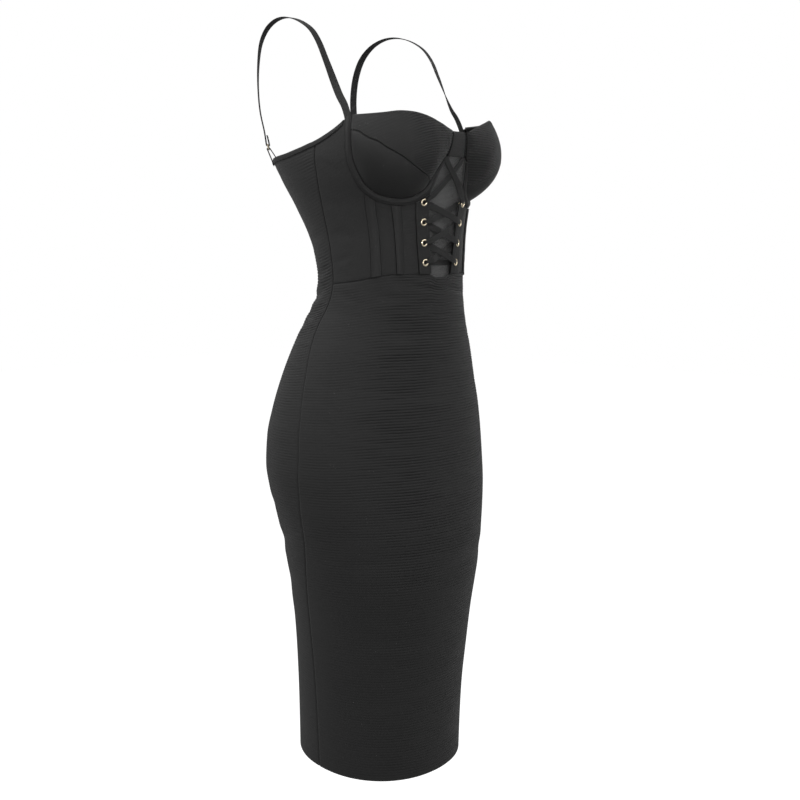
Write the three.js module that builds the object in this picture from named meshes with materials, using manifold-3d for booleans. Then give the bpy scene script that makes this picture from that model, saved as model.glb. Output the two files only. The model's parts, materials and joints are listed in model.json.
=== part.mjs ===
import * as THREE from "three";
import Module from "manifold-3d";
import { mergeVertices } from "three/addons/utils/BufferGeometryUtils.js";

// Worn strappy dress, in millimetres. Z is up, the front looks along -Y and the wearer's
// right is at -X. The origin is midway between the crests of the shoulder straps.

const CLOTH = 1.5;              // wall of the knit panels
const CUP_WALL = 3;             // padded cup wall
const SEAM_GAP = 0.3;           // space left between pieces at a seam or on top of each other
const TRIM = 1.2;               // wall of the tapes sewn on top
const CASING_WIDTH = 10;        // tape that holds the underwire
const CASING_RISE = 2.2;        // height of the wire in its casing
const CHANNEL_RISE = 1;         // height of the boning in its channel
const CUP_FULLNESS = 0.255;     // bulge of a cup over the length across it
const CUP_STEP = 0.001;         // share of the wire over which the cup seam drops to the casing
const STRAP_WIDTH = 10;
const STRAP_WALL = 1.2;
const LACE_WIDTH = 9;
const LACE_WALL = 1;
const LACE_NECK = 3.2;          // lace gathered inside an eyelet
const EYELET_RADIUS = 4.9;
const EYELET_HOLE = 2.8;
const ZIP_BOTTOM = -500;
const ZIP_TOP = -204;
const ZIP_HALF = 3.2;           // half of the space between the back edges along the zip
const HEM_LEVEL = -1045.6;      // hem at the side seam
const HEM_RISE = 0.139;         // the hem climbs by this much for each mm further back
const RADIANS = Math.PI / 180;
const SKIRT_ROWS = 20;          // rows of each panel from the hem to the waist
const BODICE_ROWS = 11;         // and from there to the top edge

// Rings of the fitted form: height, half width, front and back limits, and squareness.
const RINGS = [
  { z: -126, half: 122, front: -216, back: 74, square: 2.35 },
  { z: -166, half: 135, front: -218, back: 78, square: 2.35 },
  { z: -191, half: 137, front: -213, back: 72, square: 2.35 },
  { z: -216, half: 134, front: -205, back: 58, square: 2.3 },
  { z: -256, half: 125, front: -194, back: 36, square: 2.1 },
  { z: -296, half: 118, front: -190, back: 13, square: 2.05 },
  { z: -316, half: 116.5, front: -188.5, back: 3.5, square: 2.05 },
  { z: -356, half: 115, front: -186.5, back: -5, square: 2.05 },
  { z: -376, half: 117, front: -186, back: -3.5, square: 2.05 },
  { z: -396, half: 121, front: -185, back: 3, square: 2.1 },
  { z: -416, half: 128.5, front: -184, back: 12.8, square: 2.15 },
  { z: -456, half: 144, front: -187, back: 30, square: 2.15 },
  { z: -496, half: 156, front: -189.6, back: 44.6, square: 2.15 },
  { z: -536, half: 165.7, front: -194.4, back: 56.6, square: 2.15 },
  { z: -576, half: 172, front: -197.6, back: 65.4, square: 2.15 },
  { z: -616, half: 174, front: -200.6, back: 67.4, square: 2.15 },
  { z: -656, half: 170, front: -204.6, back: 61, square: 2.15 },
  { z: -716, half: 158, front: -206.6, back: 46.2, square: 2.15 },
  { z: -776, half: 148, front: -203.4, back: 39.4, square: 2.15 },
  { z: -836, half: 138.5, front: -195.8, back: 35, square: 2.15 },
  { z: -896, half: 132.6, front: -189.4, back: 33.4, square: 2.15 },
  { z: -956, half: 128, front: -183.7, back: 33.4, square: 2.15 },
  { z: -1016, half: 126, front: -180.8, back: 33.2, square: 2.15 },
  { z: -1076, half: 125, front: -179, back: 33, square: 2.15 },
];

// Seams and edges of the right half. An angle of 0 is the centre front, -180 the centre back.
const WAIST_BACK = -352;
const SIDE_SEAM = [
  { z: -172, angle: -87.4 }, { z: -243, angle: -88.6 }, { z: -316, angle: -92.4 },
  { z: -362, angle: -92.6 }, { z: -417, angle: -94.5 }, { z: -488, angle: -89.3 },
  { z: -597, angle: -84.9 }, { z: -696, angle: -90.5 }, { z: -822, angle: -97 },
  { z: -921, angle: -94.6 }, { z: -1046, angle: -91.8 },
];
const TOP_EDGE = [
  { angle: -180, z: -196 }, { angle: -160, z: -194 }, { angle: -135, z: -190 },
  { angle: -110, z: -187 }, { angle: -95, z: -180 }, { angle: -87.4, z: -172 },
  { angle: -79.5, z: -161 }, { angle: -74.3, z: -151 }, { angle: -71, z: -141 },
];
const WAIST_SEAM = [
  { angle: -92.6, z: -362 }, { angle: -75, z: -359 }, { angle: -61.5, z: -355 },
  { angle: -49.7, z: -351 }, { angle: -35, z: -349 }, { angle: 0, z: -349 },
];
const UNDERWIRE = [
  { angle: -70.1, z: -142 }, { angle: -67.5, z: -186 }, { angle: -64.7, z: -209 },
  { angle: -59.4, z: -230 }, { angle: -53.6, z: -241.5 }, { angle: -47.3, z: -248.5 },
  { angle: -37.6, z: -252.5 }, { angle: -27.5, z: -251 }, { angle: -19, z: -242.4 },
  { angle: -14.2, z: -231.5 }, { angle: -11, z: -216 }, { angle: -7.4, z: -197 },
  { angle: -5.7, z: -181 }, { angle: -4.6, z: -158.5 },
];
const NECKLINE = [
  { x: -119, y: -134, z: -139 }, { x: -116.5, y: -152, z: -139 },
  { x: -110, y: -177, z: -138.4 }, { x: -97, y: -196, z: -136.4 },
  { x: -78, y: -207.5, z: -137.4 }, { x: -60, y: -215, z: -142 },
  { x: -42, y: -217.5, z: -148 }, { x: -19, y: -219, z: -157 },
];
// Seam between lower and upper cup: place along the wire and share of the way up the cup.
const CUP_SEAM = [
  { along: 0.04, up: 0.12 }, { along: 0.06, up: 0.36 }, { along: 0.09, up: 0.54 },
  { along: 0.16, up: 0.63 }, { along: 0.275, up: 0.65 }, { along: 0.365, up: 0.6 },
  { along: 0.44, up: 0.54 }, { along: 0.535, up: 0.39 }, { along: 0.62, up: 0.22 },
  { along: 0.68, up: 0.08 },
];
// Boning channels, by the angles of their two edges at the casing and at the waist.
const CHANNELS = [
  { name: "side", outer: [-57.4, -57.5], inner: [-50.4, -49.4] },
  { name: "front", outer: [-40.2, -37.9], inner: [-33.5, -32.5] },
];
const PLACKET = { topX: -32.6, waistX: -20.4, width: 20.5, topZ: -251, waistZ: -349 };
const EYELETS = [
  { x: 41, z: -252.5 }, { x: 38.2, z: -279 }, { x: 35.4, z: -306.5 }, { x: 32.2, z: -333 },
];
const STRAP_FOOT = { shift: -1.6, depth: -3.2, shares: [0.045, 0.015] };
const STRAP_PATH = [
  { x: -118.8, y: -119, z: -128 },
  { x: -118, y: -108, z: -112 }, { x: -118, y: -84.3, z: -65.2 },
  { x: -118, y: -71, z: -40 }, { x: -117, y: -57, z: -23 }, { x: -116, y: -39.6, z: -11.5 },
  { x: -115, y: -21.3, z: -4 }, { x: -113.5, y: 0, z: 0 }, { x: -111, y: 20.2, z: -2 },
  { x: -108, y: 40, z: -11 }, { x: -104.5, y: 56, z: -28 }, { x: -101, y: 65.5, z: -54 },
  { x: -99, y: 69, z: -86 }, { x: -98, y: 66.5, z: -120 }, { x: -96, y: 60, z: -150 },
];

const KNIT = { color: 0x2b2b2c, roughness: 0.82, metalness: 0 };
const SMOOTH = { color: 0x262627, roughness: 0.7, metalness: 0 };
const MESH = { color: 0x5c5c5e, roughness: 0.75, metalness: 0 };
const TAPE = { color: 0x242425, roughness: 0.6, metalness: 0 };
const GOLD = { color: 0xc9a25e, roughness: 0.28, metalness: 1 };

const dress = new THREE.Group();
dress.name = "bodycon_dress";

function addPiece(name, geometry, finish) {
  const material = new THREE.MeshStandardMaterial(finish);
  const piece = new THREE.Mesh(geometry, material);
  piece.name = name;
  dress.add(piece);
}

// Value between the rows of a table, smooth and without overshoot.
function readTable(rows, key, at, column) {
  const order = rows[0][key] < rows[rows.length - 1][key] ? rows : [...rows].reverse();
  const last = order.length - 1;
  let i = 0;
  while (i < last - 1 && at > order[i + 1][key]) {
    i += 1;
  }
  const slope = (k) => {
    const rise = order[k + 1][column] - order[k][column];
    return rise / (order[k + 1][key] - order[k][key]);
  };
  const tangent = (k) => {
    if (k === 0 || k === last) {
      return slope(k === 0 ? 0 : last - 1);
    }
    const before = slope(k - 1);
    const after = slope(k);
    return before * after > 0 ? (2 * before * after) / (before + after) : 0;
  };
  const span = order[i + 1][key] - order[i][key];
  const t = THREE.MathUtils.clamp((at - order[i][key]) / span, 0, 1);
  const rise = t * t * (3 - 2 * t);
  const bend = t * (1 - t) * span;
  return THREE.MathUtils.lerp(order[i][column], order[i + 1][column], rise)
    + bend * ((1 - t) * tangent(i) - t * tangent(i + 1));
}

function ringAt(z) {
  const read = (column) => readTable(RINGS, "z", z, column);
  const front = read("front");
  const back = read("back");
  return {
    half: read("half"), middle: (front + back) / 2, deep: (back - front) / 2, square: read("square"),
  };
}

function signedPower(value, power) {
  return Math.sign(value) * Math.abs(value) ** power;
}

function formPoint(angle, z) {
  const ring = ringAt(z);
  const turn = angle * RADIANS;
  const x = ring.half * signedPower(Math.sin(turn), 2 / ring.square);
  const y = ring.middle - ring.deep * signedPower(Math.cos(turn), 2 / ring.square);
  return new THREE.Vector3(x, y, z);
}

function formNormal(angle, z) {
  const across = formPoint(angle + 1, z).sub(formPoint(angle - 1, z));
  const up = formPoint(angle, z + 2).sub(formPoint(angle, z - 2));
  return across.cross(up).normalize();
}

// Point on the fitted form, moved out by a depth (in where it is negative).
function bodyPoint(angle, z, depth = 0) {
  return formPoint(angle, z).addScaledVector(formNormal(angle, z), depth);
}

function angleOf(point) {
  const ring = ringAt(point.z);
  const sine = signedPower(point.x / ring.half, ring.square / 2);
  const cosine = signedPower((ring.middle - point.y) / ring.deep, ring.square / 2);
  return Math.atan2(sine, cosine) / RADIANS;
}

function frontAngle(x, z) {
  const ring = ringAt(z);
  return Math.asin(signedPower(x / ring.half, ring.square / 2)) / RADIANS;
}

function backAngle(x, z) {
  return -180 - frontAngle(x, z);
}

// Closed wall between an outer and an inner grid of points.
function wallBetween(outer, inner) {
  const rows = outer.length;
  const columns = outer[0].length;
  const points = [...outer.flat(), ...inner.flat()];
  const back = rows * columns;
  const index = [];
  const quad = (a, b, c, d) => index.push(a, b, c, a, c, d);
  for (let r = 0; r < rows - 1; r += 1) {
    for (let c = 0; c < columns - 1; c += 1) {
      const a = r * columns + c;
      quad(a, a + 1, a + columns + 1, a + columns);
      quad(back + a, back + a + columns, back + a + columns + 1, back + a + 1);
    }
  }
  const top = (rows - 1) * columns;
  for (let c = 0; c < columns - 1; c += 1) {
    quad(back + c, back + c + 1, c + 1, c);
    quad(top + c, top + c + 1, back + top + c + 1, back + top + c);
  }
  for (let r = 0; r < rows - 1; r += 1) {
    const a = r * columns;
    const b = a + columns - 1;
    quad(a, a + columns, back + a + columns, back + a);
    quad(back + b, back + b + columns, b + columns, b);
  }
  return facingOut(meshFrom(points, index));
}

function meshFrom(points, index) {
  const geometry = new THREE.BufferGeometry();
  const numbers = points.flatMap((p) => [p.x, p.y, p.z]);
  geometry.setAttribute("position", new THREE.Float32BufferAttribute(numbers, 3));
  geometry.setIndex(index);
  geometry.computeVertexNormals();
  return geometry;
}

function flipped(geometry) {
  const index = geometry.getIndex().array;
  for (let i = 0; i < index.length; i += 3) {
    [index[i + 1], index[i + 2]] = [index[i + 2], index[i + 1]];
  }
  geometry.computeVertexNormals();
  return geometry;
}

function mirrored(geometry) {
  return flipped(geometry.clone().scale(-1, 1, 1));
}

function addPair(name, geometry, finish) {
  addPiece(`right_${name}`, geometry, finish);
  addPiece(`left_${name}`, mirrored(geometry), finish);
}

// Piece of cloth on the form, between four edges that each give an angle and a height.
function clothPatch(edges, columns, rows, depths) {
  const grids = { outer: [], inner: [] };
  for (let r = 0; r <= rows; r += 1) {
    const t = r / rows;
    const line = { outer: [], inner: [] };
    for (let c = 0; c <= columns; c += 1) {
      const s = c / columns;
      const spot = blendEdges(edges, s, t);
      const { outer, inner } = depths(s, t);
      line.outer.push(bodyPoint(spot.x, spot.y, outer));
      line.inner.push(bodyPoint(spot.x, spot.y, inner));
    }
    grids.outer.push(line.outer);
    grids.inner.push(line.inner);
  }
  return wallBetween(grids.outer, grids.inner);
}

function blendEdges(edges, s, t) {
  const left = edges.left(t);
  const right = edges.right(t);
  const bottom = edges.bottom(s);
  const top = edges.top(s);
  const across = left.clone().lerp(right, s);
  const upward = bottom.clone().lerp(top, t);
  const low = edges.left(0).lerp(edges.right(0), s);
  const high = edges.left(1).lerp(edges.right(1), s);
  return across.add(upward).sub(low.lerp(high, t));
}

const wholeWall = () => ({ outer: 0, inner: -CLOTH });

function place(angle, z) {
  return new THREE.Vector2(angle, z);
}

// Degrees that a distance along the form takes at a place.
function degreesFor(distance, angle, z) {
  const step = 0.5;
  return (distance * 2 * step) / formPoint(angle + step, z).distanceTo(formPoint(angle - step, z));
}

// Run through a list of places at an even pace.
function runThrough(places) {
  const reach = [0];
  for (let i = 1; i < places.length; i += 1) {
    const here = formPoint(places[i].x, places[i].y);
    reach.push(reach[i - 1] + here.distanceTo(formPoint(places[i - 1].x, places[i - 1].y)));
  }
  return (t) => {
    const goal = t * reach[reach.length - 1];
    let i = 0;
    while (i < places.length - 2 && goal > reach[i + 1]) {
      i += 1;
    }
    const share = THREE.MathUtils.clamp((goal - reach[i]) / (reach[i + 1] - reach[i]), 0, 1);
    return places[i].clone().lerp(places[i + 1], share);
  };
}

// Edge whose places are the rows of the piece themselves.
function byRows(places) {
  return (t) => places[Math.round(t * (places.length - 1))].clone();
}

function evenlyBetween(low, high, count) {
  return evenSteps(count).map((t) => THREE.MathUtils.lerp(low, high, t));
}

function evenSteps(count) {
  return Array.from({ length: count + 1 }, (_, i) => i / count);
}

// Seams and edges as places on the form.

function sideSeamAngle(z, shift) {
  const angle = readTable(SIDE_SEAM, "z", z, "angle");
  return angle + degreesFor(shift, angle, z);
}

function topEdgeHeight(angle) {
  return readTable(TOP_EDGE, "angle", angle, "z");
}

function waistHeight(angle) {
  return readTable(WAIST_SEAM, "angle", -Math.abs(angle), "z");
}

function hemHeight(angle) {
  const y = formPoint(angle, HEM_LEVEL).y;
  return HEM_LEVEL + HEM_RISE * (y - formPoint(-90, HEM_LEVEL).y);
}

const underwireCurve = new THREE.SplineCurve(UNDERWIRE.map((row) => place(row.angle, row.z)));

// Place beside the underwire; a positive shift lies towards the middle of the cup.
function besideWire(along, shift) {
  const here = underwireCurve.getPoint(along);
  const before = underwireCurve.getPoint(Math.max(0, along - 0.01));
  const after = underwireCurve.getPoint(Math.min(1, along + 0.01));
  const run = formPoint(after.x, after.y).sub(formPoint(before.x, before.y)).normalize();
  const side = formNormal(here.x, here.y).cross(run).normalize();
  const point = formPoint(here.x, here.y).addScaledVector(side, shift);
  return place(angleOf(point), point.z);
}

function wireRun(from, to, shift, count = 24) {
  return runThrough(evenSteps(count).map((t) => besideWire(THREE.MathUtils.lerp(from, to, t), shift)));
}

// Share of the underwire at which a seam of the given angle meets it, below the cup.
function wireShareAt(angle, shift) {
  let best = { share: 0, miss: Infinity };
  for (const t of evenSteps(400)) {
    const at = besideWire(t, shift);
    const miss = Math.abs(at.x - angle);
    if (at.y < UNDERWIRE[3].z && miss < best.miss) {
      best = { share: t, miss };
    }
  }
  return best.share;
}

const CASING_END = 0.845;       // share of the wire where the casing slips under the bridge

// Half width of the casing, which narrows towards the bridge; past it the edges meet.
function casingHalf(along) {
  const narrow = THREE.MathUtils.smoothstep(along, 0.7, CASING_END);
  const gone = THREE.MathUtils.smoothstep(along, CASING_END, CASING_END + 0.03);
  return THREE.MathUtils.lerp(THREE.MathUtils.lerp(CASING_WIDTH / 2, 2.4, narrow), SEAM_GAP / 2, gone);
}

const PANEL_UNDER_CASING = CASING_WIDTH / 2 - 0.5;

function seamAngles(channel) {
  const middle = (level) => (channel.outer[level] + channel.inner[level]) / 2;
  return { top: middle(0), waist: middle(1) };
}

function openingX(z) {
  const share = (z - PLACKET.waistZ) / (PLACKET.topZ - PLACKET.waistZ);
  return THREE.MathUtils.lerp(PLACKET.waistX, PLACKET.topX, share);
}

// Edge of a bodice panel that climbs from the waist seam to the casing.
function risingSeam(angles, shift) {
  const share = wireShareAt(angles.top, PANEL_UNDER_CASING);
  const top = besideWire(share, PANEL_UNDER_CASING);
  const low = place(angles.waist, waistHeight(angles.waist) + SEAM_GAP / 2);
  const places = evenSteps(12).map((t) => {
    const at = low.clone().lerp(top, t);
    at.x += degreesFor(shift, at.x, at.y);
    return at;
  });
  return { places, share };
}

function waistRun(from, to, lift) {
  return runThrough(evenSteps(40).map((t) => {
    const angle = THREE.MathUtils.lerp(from, to, t);
    return place(angle, waistHeight(angle) + lift);
  }));
}

const SIDE_COLUMNS = 7;

function sideFrontEdges() {
  const half = SEAM_GAP / 2;
  const seam = risingSeam(seamAngles(CHANNELS[0]), -half);
  const up = evenlyBetween(waistHeight(-92) + half, topEdgeHeight(-87.4), BODICE_ROWS)
    .map((z) => place(sideSeamAngle(z, half), z));
  const around = evenSteps(14).map((t) => besideWire(seam.share * (1 - t), PANEL_UNDER_CASING));
  const corner = around[around.length - 1];
  const edgePlaces = evenSteps(8).map((t) => {
    const angle = THREE.MathUtils.lerp(up[BODICE_ROWS].x, corner.x, t);
    return place(angle, t === 1 ? corner.y : Math.min(topEdgeHeight(angle), corner.y));
  });
  return {
    left: byRows(up),
    right: runThrough([...seam.places, ...around.slice(1)]),
    bottom: waistRun(up[0].x, seam.places[0].x, half),
    top: runThrough(edgePlaces),
  };
}

function buildSideFront() {
  return clothPatch(sideFrontEdges(), SIDE_COLUMNS, BODICE_ROWS, wholeWall);
}

function buildFrontPanel() {
  const half = SEAM_GAP / 2;
  const outer = risingSeam(seamAngles(CHANNELS[0]), half);
  const inner = risingSeam(seamAngles(CHANNELS[1]), -half);
  return clothPatch({
    left: runThrough(outer.places),
    right: runThrough(inner.places),
    bottom: waistRun(outer.places[0].x, inner.places[0].x, half),
    top: wireRun(outer.share, inner.share, PANEL_UNDER_CASING, 8),
  }, 4, 9, wholeWall);
}

// Casing share at which the free edge of the opening reaches the underwire.
function openingShare() {
  return wireShareAt(frontAngle(openingX(-238), -238), -CASING_WIDTH / 2);
}

function openingEdge(lift) {
  const top = besideWire(openingShare(), lift);
  return runThrough(evenSteps(12).map((t) => {
    const z = THREE.MathUtils.lerp(waistHeight(0) + SEAM_GAP / 2, top.y, t);
    return place(frontAngle(openingX(z), z), z);
  }));
}

function buildCentrePanel() {
  const half = SEAM_GAP / 2;
  const outer = risingSeam(seamAngles(CHANNELS[1]), half);
  const edge = openingEdge(PANEL_UNDER_CASING);
  const inner = openingShare();
  const places = evenSteps(10)
    .map((t) => besideWire(THREE.MathUtils.lerp(outer.share, inner, t), PANEL_UNDER_CASING));
  places[places.length - 1] = edge(1);
  return clothPatch({
    left: runThrough(outer.places),
    right: edge,
    bottom: waistRun(outer.places[0].x, edge(0).x, half),
    top: runThrough(places),
  }, 5, 8, wholeWall);
}

// Strip sewn on top of the bodice, between two angles, from the waist seam to the casing.
function raisedStrip(channel) {
  const foot = (angle) => place(angle, waistHeight(angle) + 1);
  const below = -CASING_WIDTH / 2 - 0.6;
  const head = (angle) => besideWire(wireShareAt(angle, below), below);
  const climb = (pair) => {
    const top = head(pair[0]);
    return runThrough(evenSteps(10).map((t) => foot(pair[1]).lerp(top, t)));
  };
  const left = climb(channel.outer);
  const right = climb(channel.inner);
  const low = SEAM_GAP + 0.15;
  return clothPatch({
    left,
    right,
    bottom: runThrough([left(0), right(0)]),
    top: runThrough([left(1), right(1)]),
  }, 4, 9, (s) => ({ outer: low + TRIM + CHANNEL_RISE * Math.sin(Math.PI * s), inner: low }));
}

function buildPlacket() {
  const below = -CASING_WIDTH / 2 - 0.6;
  const meet = (z, inFromEdge) => {
    const angle = frontAngle(openingX(z) - inFromEdge, z);
    return besideWire(wireShareAt(angle, below), below);
  };
  const line = (shift, topZ) => runThrough(evenSteps(12).map((t) => {
    const z = THREE.MathUtils.lerp(waistHeight(0) + 1, topZ, t);
    return place(frontAngle(openingX(z) + shift, z), z);
  }));
  const left = line(-PLACKET.width, meet(PLACKET.topZ - 1, PLACKET.width).y);
  const right = line(0.4, besideWire(openingShare(), below).y);
  return clothPatch({
    left,
    right,
    bottom: runThrough([left(0), right(0)]),
    top: runThrough([left(1), meet(PLACKET.topZ + 10, PLACKET.width / 2), right(1)]),
  }, 4, 8, () => ({ outer: SEAM_GAP + TRIM, inner: SEAM_GAP }));
}

// Casing: a domed tape over the underwire, from the strap round the cup to the bridge.
function buildCasing() {
  const lift = SEAM_GAP + 0.2;
  const grids = { outer: [], inner: [] };
  for (const t of evenSteps(28)) {
    const outer = [];
    const inner = [];
    for (const s of evenSteps(3)) {
      const along = t * CASING_END;
      const side = casingHalf(along) - 0.4;
      const at = besideWire(along, THREE.MathUtils.lerp(-side, side, s));
      outer.push(bodyPoint(at.x, at.y, lift + 1 + CASING_RISE * Math.sin(Math.PI * s) * 0.6));
      inner.push(bodyPoint(at.x, at.y, lift));
    }
    grids.outer.push(outer);
    grids.inner.push(inner);
  }
  return wallBetween(grids.outer, grids.inner);
}

// Cups: arcs that spring from the underwire to the neckline.

const necklineCurve = new THREE.CatmullRomCurve3(
  NECKLINE.map((row) => new THREE.Vector3(row.x, row.y, row.z)), false, "centripetal");

function cupPoint(along, up) {
  const foot = besideWire(along, casingHalf(along) + 0.1);
  const low = bodyPoint(foot.x, foot.y, 0.4);
  const high = necklineCurve.getPointAt(along);
  const chord = high.clone().sub(low);
  const out = formNormal(foot.x, foot.y);
  out.addScaledVector(chord, -out.dot(chord) / chord.lengthSq()).normalize();
  const swell = CUP_FULLNESS * chord.length() * 4 * up * (1 - up);
  return low.addScaledVector(chord, up).addScaledVector(out, swell);
}

function cupNormal(along, up) {
  const step = 0.01;
  const side = (value) => THREE.MathUtils.clamp(value, 0, 1);
  const across = cupPoint(side(along + step), up).sub(cupPoint(side(along - step), up));
  const rise = cupPoint(along, side(up + step)).sub(cupPoint(along, side(up - step)));
  return across.cross(rise).normalize();
}

function cupSeamHeight(along) {
  if (along <= CUP_SEAM[0].along || along >= CUP_SEAM[CUP_SEAM.length - 1].along) {
    const near = along < 0.4 ? CUP_SEAM[0] : CUP_SEAM[CUP_SEAM.length - 1];
    const fade = 1 - Math.abs(along - near.along) / CUP_STEP;
    return near.up * THREE.MathUtils.clamp(fade, 0, 1);
  }
  return readTable(CUP_SEAM, "along", along, "up");
}

function cupGrid(steps, rows, low, high) {
  const outer = [];
  const inner = [];
  for (const t of evenSteps(rows)) {
    const outerRow = [];
    const innerRow = [];
    for (const along of steps) {
      const up = THREE.MathUtils.lerp(low(along), high(along), t);
      const point = cupPoint(along, up);
      outerRow.push(point);
      innerRow.push(point.clone().addScaledVector(cupNormal(along, up), -CUP_WALL));
    }
    outer.push(outerRow);
    inner.push(innerRow);
  }
  return wallBetween(outer, inner);
}

function cupGap(along) {
  return (SEAM_GAP * 0.6) / cupPoint(along, 1).distanceTo(cupPoint(along, 0));
}

function buildLowerCup() {
  const first = CUP_SEAM[0].along;
  const last = CUP_SEAM[CUP_SEAM.length - 1].along;
  const steps = [first, first + 0.02, ...evenlyBetween(first + 0.05, last, 14)];
  return cupGrid(steps, 4, () => 0, (along) => cupSeamHeight(along) - cupGap(along));
}

function buildUpperCup() {
  const first = CUP_SEAM[0].along;
  const last = CUP_SEAM[CUP_SEAM.length - 1].along;
  const steps = [
    0, first - CUP_STEP, first, first + 0.02,
    ...evenlyBetween(first + 0.05, last, 14),
    ...evenlyBetween(last + CUP_STEP, 1, 5),
  ];
  return cupGrid(steps, 6, (along) => {
    const seam = cupSeamHeight(along);
    return seam > 0 ? seam + cupGap(along) : 0;
  }, () => 1);
}

// Bridge between the cups and the sheer panel behind the lacing.

function buildBridge() {
  const topZ = -158.5;
  const lowZ = -192;
  const edgeX = (z) => {
    const share = evenSteps(60).map((t) => 0.7 + 0.3 * t).find((t) => besideWire(t, -SEAM_GAP).y > z) ?? 1;
    return besideWire(share, -SEAM_GAP).x;
  };
  const side = (sign) => runThrough(evenSteps(6).map((t) => {
    const z = THREE.MathUtils.lerp(lowZ, topZ, t);
    return place(sign * edgeX(z), z);
  }));
  const left = side(1);
  const right = side(-1);
  return clothPatch({
    left,
    right,
    bottom: runThrough([left(0), right(0)]),
    top: runThrough([left(1), right(1)]),
  }, 6, 4, wholeWall);
}

const SHEER = [
  { z: -350, half: 29 }, { z: -256, half: 42 }, { z: -232, half: 38 },
  { z: -200, half: 27 }, { z: -184, half: 23 },
];

function buildSheerPanel() {
  const side = (sign) => runThrough(evenSteps(16).map((t) => {
    const z = THREE.MathUtils.lerp(-347, -184, t);
    return place(sign * frontAngle(readTable(SHEER, "z", z, "half"), z), z);
  }));
  const left = side(-1);
  const right = side(1);
  return clothPatch({
    left,
    right,
    bottom: runThrough([left(0), right(0)]),
    top: runThrough([left(1), right(1)]),
  }, 7, 9, () => ({ outer: -5, inner: -6 }));
}

// Skirt and back.

function hemRun(from, to) {
  return runThrough(evenSteps(40).map((t) => {
    const angle = THREE.MathUtils.lerp(from, to, t);
    return place(angle, hemHeight(angle));
  }));
}

function buildFrontSkirt() {
  const half = SEAM_GAP / 2;
  const heights = evenlyBetween(hemHeight(-92), waistHeight(-92) - half, SKIRT_ROWS);
  const side = (sign) => byRows(heights.map((z) => place(-sign * sideSeamAngle(z, half), z)));
  const left = side(-1);
  const right = side(1);
  return clothPatch({
    left,
    right,
    bottom: hemRun(left(0).x, right(0).x),
    top: waistRun(left(1).x, right(1).x, -half),
  }, 22, SKIRT_ROWS, wholeWall);
}

// Heights of the rows of a back panel at one of its upright edges.
function backLevels(hem, waist, top) {
  return [...evenlyBetween(hem, waist, SKIRT_ROWS), ...evenlyBetween(waist, top, BODICE_ROWS).slice(1)];
}

function centreBackLevels() {
  return backLevels(hemHeight(-180), WAIST_BACK, topEdgeHeight(-180));
}

function centreBackEdge(z) {
  const inset = z > ZIP_BOTTOM ? ZIP_HALF : SEAM_GAP / 2;
  return place(backAngle(-inset, z), z);
}

function backEdges() {
  const shift = -SEAM_GAP / 2;
  const left = byRows(centreBackLevels().map(centreBackEdge));
  const right = byRows(backLevels(hemHeight(-92), waistHeight(-92), topEdgeHeight(-87.4))
    .map((z) => place(sideSeamAngle(z, shift), z)));
  const top = runThrough(evenSteps(16).map((t) => {
    const angle = THREE.MathUtils.lerp(left(1).x, right(1).x, t);
    return place(angle, topEdgeHeight(angle));
  }));
  return { left, right, bottom: hemRun(left(0).x, right(0).x), top };
}

const BACK_COLUMNS = 10;

function buildBackPanel() {
  return clothPatch(backEdges(), BACK_COLUMNS, SKIRT_ROWS + BODICE_ROWS, wholeWall);
}

// Tape of a given section along a line on the form; the section lists shift and depth, and is
// drawn in or let out across by a station's own stretch.
function sweepSection(stations, outline) {
  const corners = outline.map(([x, y]) => new THREE.Vector2(x, y));
  const section = THREE.ShapeUtils.isClockWise(corners) ? corners.reverse() : corners;
  const points = stations.flatMap(({ at, side, out, stretch = 1 }) => section.map((corner) => at.clone()
    .addScaledVector(side, corner.x * stretch).addScaledVector(out, corner.y)));
  const size = section.length;
  const index = [];
  for (let i = 0; i < stations.length - 1; i += 1) {
    for (let k = 0; k < size; k += 1) {
      const a = i * size + k;
      const b = i * size + ((k + 1) % size);
      index.push(a, b, b + size, a, b + size, a + size);
    }
  }
  const faces = THREE.ShapeUtils.triangulateShape(section, []);
  const last = (stations.length - 1) * size;
  for (const [a, b, c] of faces) {
    index.push(a, c, b);
    index.push(last + a, last + b, last + c);
  }
  return facingOut(meshFrom(points, index));
}

function facingOut(geometry) {
  const position = geometry.getAttribute("position");
  const index = geometry.getIndex().array;
  const corner = (i) => new THREE.Vector3().fromBufferAttribute(position, index[i]);
  let volume = 0;
  for (let i = 0; i < index.length; i += 3) {
    volume += corner(i).dot(corner(i + 1).cross(corner(i + 2)));
  }
  return volume < 0 ? flipped(geometry) : geometry;
}

// Places at the top of a panel, each with the place one row below it.
function upperRows(edges, shares, rows) {
  return shares.map((s) => ({
    top: blendEdges(edges, s, 1),
    below: blendEdges(edges, s, 1 - 1 / rows),
  }));
}

const BINDING_END = 0.77;       // share of the side front's top edge that is bound

// Binding folded over the top edge, from the zip to the strap.
function buildBinding() {
  const width = 6;
  const section = [
    [-width, 0.35], [-width, 1.3], [1.4, 1.3], [1.4, -2.8], [-width, -2.8], [-width, -1.85],
    [0.4, -1.85], [0.4, 0.35],
  ];
  const sideShares = [...evenSteps(SIDE_COLUMNS).slice(0, -2), BINDING_END];
  const rows = [
    ...upperRows(backEdges(), evenSteps(BACK_COLUMNS).slice(0, -1), SKIRT_ROWS + BODICE_ROWS),
    ...upperRows(sideFrontEdges(), sideShares, BODICE_ROWS),
  ];
  const stations = rows.map(({ top, below }) => {
    const at = bodyPoint(top.x, top.y);
    const up = at.clone().sub(bodyPoint(below.x, below.y)).normalize();
    const out = formNormal(top.x, top.y);
    out.addScaledVector(up, -out.dot(up)).normalize();
    return { at, out, side: up };
  });
  return sweepSection(stations, section);
}

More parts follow.
